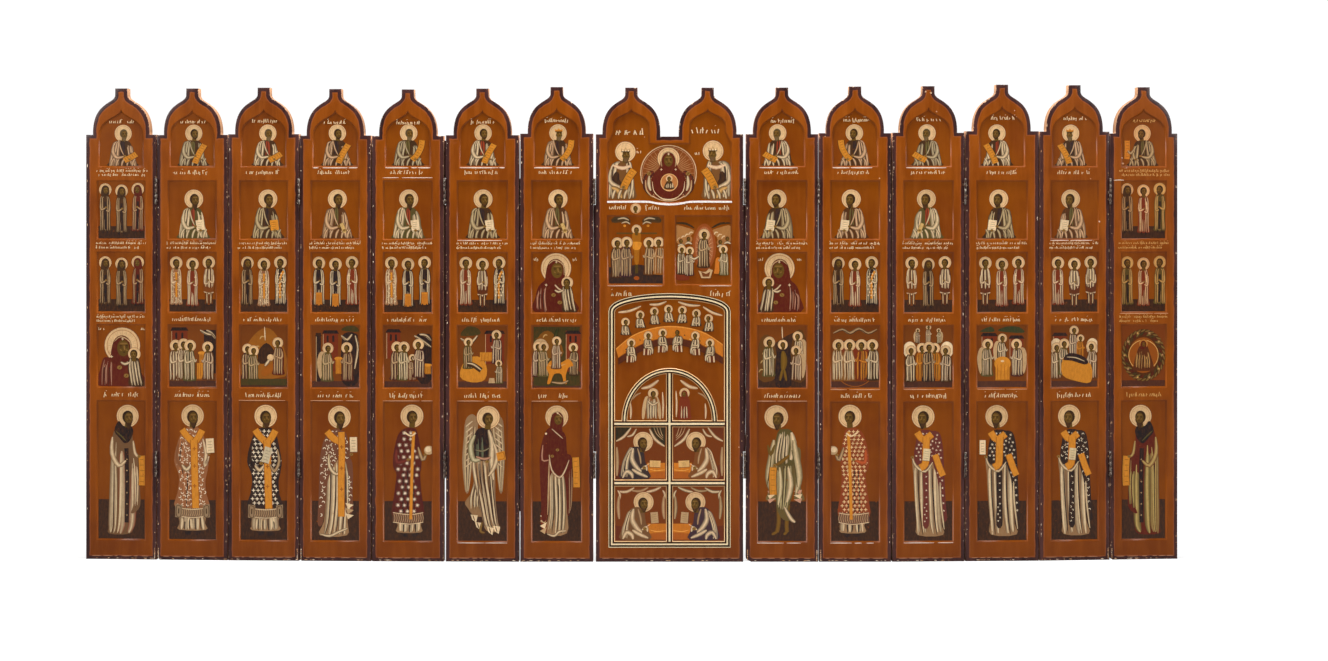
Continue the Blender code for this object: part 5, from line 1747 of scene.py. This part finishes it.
def seated_writer(p, robe, upper):
    """A seated writer turned to a table, measured from the cell's lower outer corner."""
    p.halo(22.4, 30.4, 7.8)
    p.area([(26.6, 0.8), (40.2, 0.8), (40.2, 13.4), (26, 13.4)], srgb(178, 92, 28))
    p.area([(25.6, 13.4), (40.2, 13.4), (40.2, 6.6), (26.6, 5.6)], srgb(206, 118, 34))
    p.stroke([(27.6, 8.4), (33, 7.2), (40, 8)], 0.5, srgb(240, 170, 80))
    p.bar([(28.6, 1.2), (28.2, 5.4)], 0.6, TAWNY)
    rows = [(26, 14, 20), (22, 10, 23), (15, 7, 24), (8, 4.8, 26), (0.9, 4.6, 27.4)]
    p.robe(rows, robe)
    p.folds(rows, 0, 0.25, 2, CREAM, robe, 0.8)
    p.stroke([(14.6, 25), (13.4, 17), (16.6, 10.6), (21, 6.4)], 4.2, CREAM, robe)
    p.stroke([(18, 25), (20, 18), (20.6, 12.6)], 1.8, STRAW, robe)
    p.stroke([(6, 1.4), (9, 6.4), (13, 4.6), (14, 1)], 3.6, CREAM, robe)
    p.stroke([(13.6, 8.4), (18.4, 5.4), (26, 2)], 3.2, CREAM, robe)
    p.stroke([(21, 8.4), (24.6, 10.6), (25.4, 7)], 2.4, CREAM, robe)
    if upper:
        p.book(27.6, 10.2, 8.6, 4.8, -0.05, srgb(226, 176, 108))
    else:
        p.book(28.4, 13.6, 5.8, 9, 0.08, STRAW)
    p.bar([(22, 9.4), (27.4, 12.8)], 0.4, CREAM)
    p.hand(23.4, 9.4, 1.6)
    p.head(22.2, 29, 3.7, 0.4, HAIR, 0.7)


def two_at_the_arch(p):
    """A winged figure and a veiled one under the doors' arch, between the posts of a house."""
    for x, low, high in ((-31.2, 114.6, 128), (-5.4, 115, 136), (5.4, 116, 137), (28.8, 114.6, 127)):
        p.stroke([(x, low), (x + 0.3, (low + high) / 2), (x - 0.2, high)], 1.7, CREAM, srgb(150, 92, 56))
    for side in (-1, 1):
        p.stroke(turned(side, (22.6, 139), (15.6, 140.6), (8.8, 145.6)), 2.8, CREAM, srgb(150, 92, 56))
        p.stroke(turned(side, (30, 130), (27, 133.4), (23, 135.4)), 1.6, STRAW, srgb(120, 66, 34))
        p.stroke(turned(side, (28, 136.4), (19, 145.4), (8, 149)), 1, SHADE)
    p.at(-14.4, 114.2, 0.93, 1)
    p.halo(1.4, 22.4, 4.4)
    for side in (-1, 1):
        wing = ((19, 4, 1.6), (10, 6.4, 1.6), (1, 7.2, 1))
        p.robe([(z, side * x - half, side * x + half) for z, x, half in wing], STRAW)
    rows = [(19, -3, 4), (12, -4.6, 5.4), (6, -4.4, 5), (0.4, -4.8, 5.6)]
    p.robe(rows, srgb(140, 84, 40))
    p.folds(rows, 0.05, 0.95, 4, CREAM, SHADE, 0.75)
    p.light([(-3.4, 16), (1, 12.4), (5.6, 15)], 2)
    p.head(1.6, 21.6, 2.2, 0.3)
    p.at(12, 114.2, 0.93, -1)
    p.halo(0, 22.6, 4.4)
    rows = [(19.6, -3, 3), (12, -5, 4.8), (5, -5.2, 5), (0.4, -5.4, 5.2)]
    p.robe(rows, RUST)
    p.folds(rows[1:], 0.25, 0.8, 3, CREAM, RUST, 0.6)
    p.head(0.2, 21.8, 2.2, 0.3, SKIN, 0, None, RUST)
    p.at()


def door_lines(p):
    """The black and cream lines of the doors' frame, bars and arch, ruled on the raised wood."""
    black, pale = srgb(26, 18, 16), srgb(250, 226, 180)
    doors = [Vector((-44.4, 16)), Vector((44.4, 16))]
    doors += [Vector((44.4 * cos(pi * n / 24), 200.4 + 10.4 * sin(pi * n / 24))) for n in range(25)]
    for near, far, tint in ((0.1, 4.7, black), (1.3, 2.5, pale), (4, 4.5, pale)):
        p.ribbon(inset(doors, -near), inset(doors, -far), tint, True)
        p.coats += 5
    bars = [(-2, 2, 16.2, 151.2), (-44.2, 44.2, 61.15, 65.15), (-44.2, 44.2, 108.65, 112.65)]
    for left, right, low, high in bars:
        p.area(rectangle(left, right, low, high), black)
    for n, (left, right, low, high) in enumerate(bars):
        middle = (left, right, low + 1.2, high - 1.2) if n else (-0.8, 0.8, low, high)
        p.area(rectangle(*middle), pale)
    turn = [pi * n / 32 for n in range(33)]
    for near, far, tint in ((0.1, 3.3, black), (1.1, 2.2, pale)):
        lines = []
        for r in (near, far):
            half, tall = ARCH_HALF + r, ARCH_HEIGHT + r
            lines.append([Vector((half * cos(a), 112.8 + tall * sin(a))) for a in turn])
        p.ribbon(*lines, tint)


CELLS = (
    (65.9, 1, srgb(52, 44, 44), srgb(46, 42, 28)), (65.9, 1, srgb(120, 70, 34), srgb(108, 50, 24)),
    (16.9, 1.02, srgb(120, 82, 50), srgb(136, 84, 54)), (16.9, 1.02, srgb(62, 44, 52), srgb(80, 66, 40)),
)
FIELD_PICTURES = (
    (crowned_prophet, -38.4, 290.6), (crowned_prophet, 38, 290.6, 1.02, -1), (rayed_disc, -0.8, 289),
    (scene_cross, -48.6, 223.2), (scene_rays, 4.9, 223.2),
)
CENTRE_TITLES = (
    (-43, -19.6, 342.4, 4.6), (18.6, 41.6, 343.6, 4.2), (-48, -34.6, 282.6, 3), (-18.6, -8.6, 282.4, 3),
    (12, 47.6, 282.4, 3), (-46.4, -30, 213.2, 3.6), (33, 48.4, 213.2, 3.6),
)


def paint_centre(leaf):
    """The centre leaf's fields from the top down, the doors, the titles, the wear and the painted lip
    highlights.
    """
    p = Painting(leaf)
    for picture, *spot in FIELD_PICTURES:
        p.on(FIELD_DEPTH, *spot)
        picture(p)
    for n, (low, size, robe, cloth) in enumerate(CELLS):
        side = -1 if n % 2 else 1
        p.on(PANEL_DEPTH, -43.6 * side, low, size, side)
        block(p, 0.3, 40.6, 0.2, 42.2, srgb(116, 54, 16))
        p.area([(0.3, 0.2), (26, 0.2), (26, 8), (0.3, 12)], srgb(100, 42, 22))
        if n < 2:
            drapes(p, cloth, srgb(120, 80, 50))
        else:
            hangings(p, cloth)
        seated_writer(p, robe, n < 2)
    p.on(PANEL_DEPTH)
    two_at_the_arch(p)
    p.on(PANEL_DEPTH)
    long_table(p)
    p.on(0)
    door_lines(p)
    p.disc(-27.1, 283.4, 4.3, 4.2, srgb(214, 160, 110), 20)
    p.disc(-27.1, 283.4, 3.2, 3.1, HALO, 18)
    p.head(-27.1, 283, 1.8, 0)
    for start, end, z, tall in CENTRE_TITLES:
        p.writing(start, end, z, tall, CREAM, 0.04)
    wear_and_lip_highlights(p)
    # Painted highlights: a white line along the lower lip of the top field, fainter ones along those of the
    # scenes.
    lip = [(-50, 288.6), (-30, 288.7), (-16.6, 288.6), (-9, 287.2), (0, 286.5)]
    lip += [(9, 287.2), (16.6, 288.6), (34, 288.7), (50, 288.6)]
    p.bar(lip, 1.5, srgb(254, 246, 238))
    p.stroke([(-49.6, 221.3), (-30, 221.4), (-6, 221.3)], 0.5, srgb(236, 206, 184))
    p.stroke([(24, 221.3), (40, 221.4), (49.6, 221.3)], 0.6, srgb(236, 206, 184))
    p.on(FIELD_DEPTH)
    p.writing(-26, -22.6, 327.6, 2.6, CREAM, 0)
    p.writing(21, 24.6, 326.4, 2.6, CREAM, 0)
    p.finish(tempera)


paint_centre(leaves[CENTRE])

# ---- The hinges
# Two small wrought-iron hinges at each joint, on the front where the joint folds forwards and on the back
# where it folds back: rolled knuckles on a pin, and two leaves let into the edges of the boards.
KNUCKLES = 5
KNUCKLE_RADIUS, KNUCKLE_GAP, PIN_RADIUS = 1, 0.12, 0.55
PLATE_ASIDE, PLATE_HALF_THICK, PLATE_DEEP, PLATE_SHORT = 0.32, 0.16, 6.8, 0.4
JOINTS_THAT_FOLD_BACK = (2, 4, 6, 10, 12)


def iron_finish():
    material, shader, wire = new_finish("old_iron_worn", Specular_IOR_Level=0.5)
    where = place_in(wire)
    rust = mottle(wire, where, 500, 4)
    scratches = mottle(wire, place_in(wire, (1, 1, 0.3)), 1400, 2)
    bright = scratches.rising(0.5, 0.62)
    colour = mix(wire, rust.rising(0.35, 0.65), srgb(46, 38, 36), srgb(88, 58, 42))
    colour = mix(wire, bright * 0.8, colour, srgb(176, 166, 152))
    bump = wire.node("ShaderNodeBump", None, 0, Strength=0.5, Distance=0.0002, Height=rust)
    feed(wire, shader, Base_Color=colour, Normal=bump, Roughness=rust * 0.3 + 0.35,
         Metallic=bright * 0.5 + 0.4)
    return material


def tube(work, x, y, low, high, radius, sides=16):
    """A closed, slightly rounded knuckle or pin."""
    rings, shrink = [], 0.12 * radius
    turn = [2 * pi * n / sides for n in range(sides)]
    less = radius - shrink
    for z, reach in ((low, less), (low + shrink, radius), (high - shrink, radius), (high, less)):
        rings.append([work.verts.new((x + reach * cos(a), y + reach * sin(a), z)) for a in turn])
    for first, second in zip(rings, rings[1:]):
        for n in range(sides):
            work.faces.new((first[n - 1], first[n], second[n], second[n - 1])).smooth = True
    work.faces.new(rings[0])
    work.faces.new(rings[-1])


def plate(work, x, y, low, high):
    """A hinge's leaf on edge, let into the board."""
    left, right = x - PLATE_HALF_THICK, x + PLATE_HALF_THICK
    corners = [(left, y), (right, y), (right, y + PLATE_DEEP), (left, y + PLATE_DEEP)]
    rings = [[work.verts.new((px, py, z)) for px, py in corners] for z in (low, high)]
    for n in range(4):
        work.faces.new((rings[0][n - 1], rings[0][n], rings[1][n], rings[1][n - 1]))
    work.faces.new(rings[0])
    work.faces.new(rings[1])


def hinge_piece(name, work, body, nodes=()):
    bmesh.ops.recalc_face_normals(work, faces=work.faces)
    mesh = bpy.data.meshes.new(name)
    work.to_mesh(mesh)
    work.free()
    piece = bpy.data.objects.new(name, mesh)
    bpy.context.scene.collection.objects.link(piece)
    mesh.materials.append(iron)
    mesh.transform(Matrix.Diagonal((0.001, 0.001, 0.001, 1)))
    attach(piece, body)
    if nodes:
        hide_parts(*nodes)


iron = iron_finish()
for joint in frame["joints"]:
    first = int(joint["name"].split("_")[1])
    inner, outer = (first + 1, first) if first < CENTRE else (first, first + 1)
    x, y = (1000 * part for part in joint["pos_m"][:2])
    plate_y = y - PLATE_DEEP if first in JOINTS_THAT_FOLD_BACK else y
    for place in ("upper", "lower"):
        node = f"hinge_{first:02d}_{first + 1:02d}_{place}"
        low, high = (1000 * corner.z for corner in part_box(node))
        knuckle = (high - low) / KNUCKLES
        halves = {inner: bmesh.new(), outer: bmesh.new()}
        for n in range(KNUCKLES):
            ends = low + n * knuckle + KNUCKLE_GAP, low + (n + 1) * knuckle - KNUCKLE_GAP
            tube(halves[outer if n % 2 else inner], x, y, *ends, KNUCKLE_RADIUS)
        tube(halves[inner], x, y, low + 0.01, high - 0.01, PIN_RADIUS)
        for half, side in ((outer, outer - inner), (inner, inner - outer)):
            plate(halves[half], x + side * PLATE_ASIDE, plate_y, low + PLATE_SHORT, high - PLATE_SHORT)
        hinge_piece(node + "_knuckles", halves[inner], body_of(inner), [node])
        hinge_piece(node + "_outer_leaf", halves[outer], body_of(outer))

# ---- The slips in the joints
# Thin slips of wood, painted dark like the borders, glued to the edge of the four widest joints between
# their hinges, where no light comes through. How the real ones are made can't be seen.
SLIPS = ((6, -1, 1.8, 68, 338), (7, -1, 1.1, 40, 308), (8, -1, 2.2, 68, 308), (8, 1, 2.2, 68, 308))
SLIP_DEEP, SLIP_STEP, SHORTEST_SLIP = 3.2, 6, 5


def slip_mesh(leaf, side, gap, low, high):
    """A planed slip along one edge of a leaf, with a softened front corner."""
    work, chance, rings = bmesh.new(), random.Random(leaf.number), []
    from_edge = work.verts.layers.float.new(LAYERS[0])
    count, near = round((high - low) / SLIP_STEP), leaf.width / 2 - 0.05
    for n in range(count + 1):
        z, reach = low + (high - low) * n / count, near + gap - chance.uniform(0.2, 0.35)
        front = -THICKNESS / 2 + chance.uniform(1.5, 1.8)
        back = front + SLIP_DEEP
        corners = ((near, front), (reach - 0.2, front), (reach, front + 0.3), (reach, back), (near, back))
        rings.append([work.verts.new((side * x, y, z)) for x, y in corners])
        for vertex in rings[-1]:
            vertex[from_edge] = 1.4
    for first, second in zip(rings, rings[1:]):
        for n in range(len(first)):
            work.faces.new((first[n - 1], first[n], second[n], second[n - 1])).smooth = n == 2
    work.faces.new(rings[0])
    work.faces.new(rings[-1])
    bmesh.ops.recalc_face_normals(work, faces=work.faces)
    mesh = bpy.data.meshes.new("slip")
    work.to_mesh(mesh)
    work.free()
    return mesh


for number, side, gap, bottom, top in SLIPS:
    first = min(number, number + side)
    irons = [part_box(f"hinge_{first:02d}_{first + 1:02d}_{place}") for place in ("lower", "upper")]
    stops = [bottom] + [1000 * corner.z for box in irons for corner in box] + [top]
    for low, high in zip(stops[::2], stops[1::2]):
        if high - low > SHORTEST_SLIP:
            slip = slip_mesh(leaves[number], side, gap, low + 0.2, high - 0.2)
            leaves[number].finish(f"slip_{first:02d}_{first + 1:02d}_{int(low)}", slip, painted)

# ---- The camera, the floor and the lights
# The camera stands square to the centre leaf, a little higher than its middle, 1.35 m away, with two soft
# boxes and a top light over a pale floor. Rows are counted in pixels from the top of the picture.
DISTANCE, CAMERA_X = 1.35, 0.026
PICTURE_WIDTH, PIXELS_A_METRE = 1328, 1247.5
MIDDLE_ROW, HORIZON_ROW, FOOT_ROW = 330.5, 200, 561.9
SENSOR_MM = 36
camera = bpy.data.objects.new("camera", bpy.data.cameras.new("camera"))
bpy.context.scene.collection.objects.link(camera)
camera.data.sensor_width = SENSOR_MM
camera.data.lens = SENSOR_MM * PIXELS_A_METRE * DISTANCE / PICTURE_WIDTH
camera.data.shift_y = (HORIZON_ROW - MIDDLE_ROW) / PICTURE_WIDTH
camera.data.clip_start = 0.05
centre_front = leaves[CENTRE].place @ Vector((0, -THICKNESS / 2, 0))
camera.location = (CAMERA_X, centre_front.y - DISTANCE, (FOOT_ROW - HORIZON_ROW) / PIXELS_A_METRE)
camera.rotation_euler = (radians(90), 0, 0)
bpy.context.scene.camera = camera

floor_mesh = bpy.data.meshes.new("floor")
floor_mesh.from_pydata([(-5, -1.1, 0), (5, -1.1, 0), (5, 5, 0), (-5, 5, 0)], [], [(0, 1, 2, 3)])
floor = bpy.data.objects.new("floor", floor_mesh)
bpy.context.scene.collection.objects.link(floor)
floor_finish, floor_shader, floor_wire = new_finish(
    "pale_floor", Base_Color=(0.3, 0.3, 0.3, 1), Roughness=1, Specular_IOR_Level=0, Emission_Strength=1)
away = floor_wire.node("ShaderNodeVectorMath", {"operation": "LENGTH"}, 1, i0=place_in(floor_wire))
glow = away.rising(0.7, 1.7) * 0.2 + 0.82
feed(floor_wire, floor_shader, Emission_Color=add_node(floor_wire.tree, "ShaderNodeLightPath") * glow)
floor_mesh.materials.append(floor_finish)


def soft_box(name, location, aim, size, power):
    lamp = bpy.data.objects.new(name, bpy.data.lights.new(name, "AREA"))
    bpy.context.scene.collection.objects.link(lamp)
    lamp.data.shape, lamp.data.size, lamp.data.size_y, lamp.data.energy = "RECTANGLE", *size, power
    lamp.location = location
    lamp.rotation_euler = (Vector(aim) - Vector(location)).to_track_quat("-Z", "Y").to_euler()


soft_box("left_box", (-1.7, -1.3, 1.1), (-0.1, 0, 0.32), (1.2, 1.2), 32)
soft_box("right_box", (1.7, -1.3, 1.1), (0.12, 0, 0.32), (1.2, 1.2), 29.5)
soft_box("top_box", (0.02, -0.08, 1.05), (0.02, 0, 0.2), (0.6, 0.25), 15)
world = bpy.data.worlds.new("studio")
world.use_nodes = True
sky = world.node_tree.nodes["Background"]
sky.inputs["Color"].default_value = (1, 1, 1, 1)
seen = add_node(world.node_tree, "ShaderNodeLightPath")
world.node_tree.links.new((seen + 0.05).socket, sky.inputs["Strength"])
bpy.context.scene.world = world
bpy.context.scene.view_settings.view_transform = "Standard"
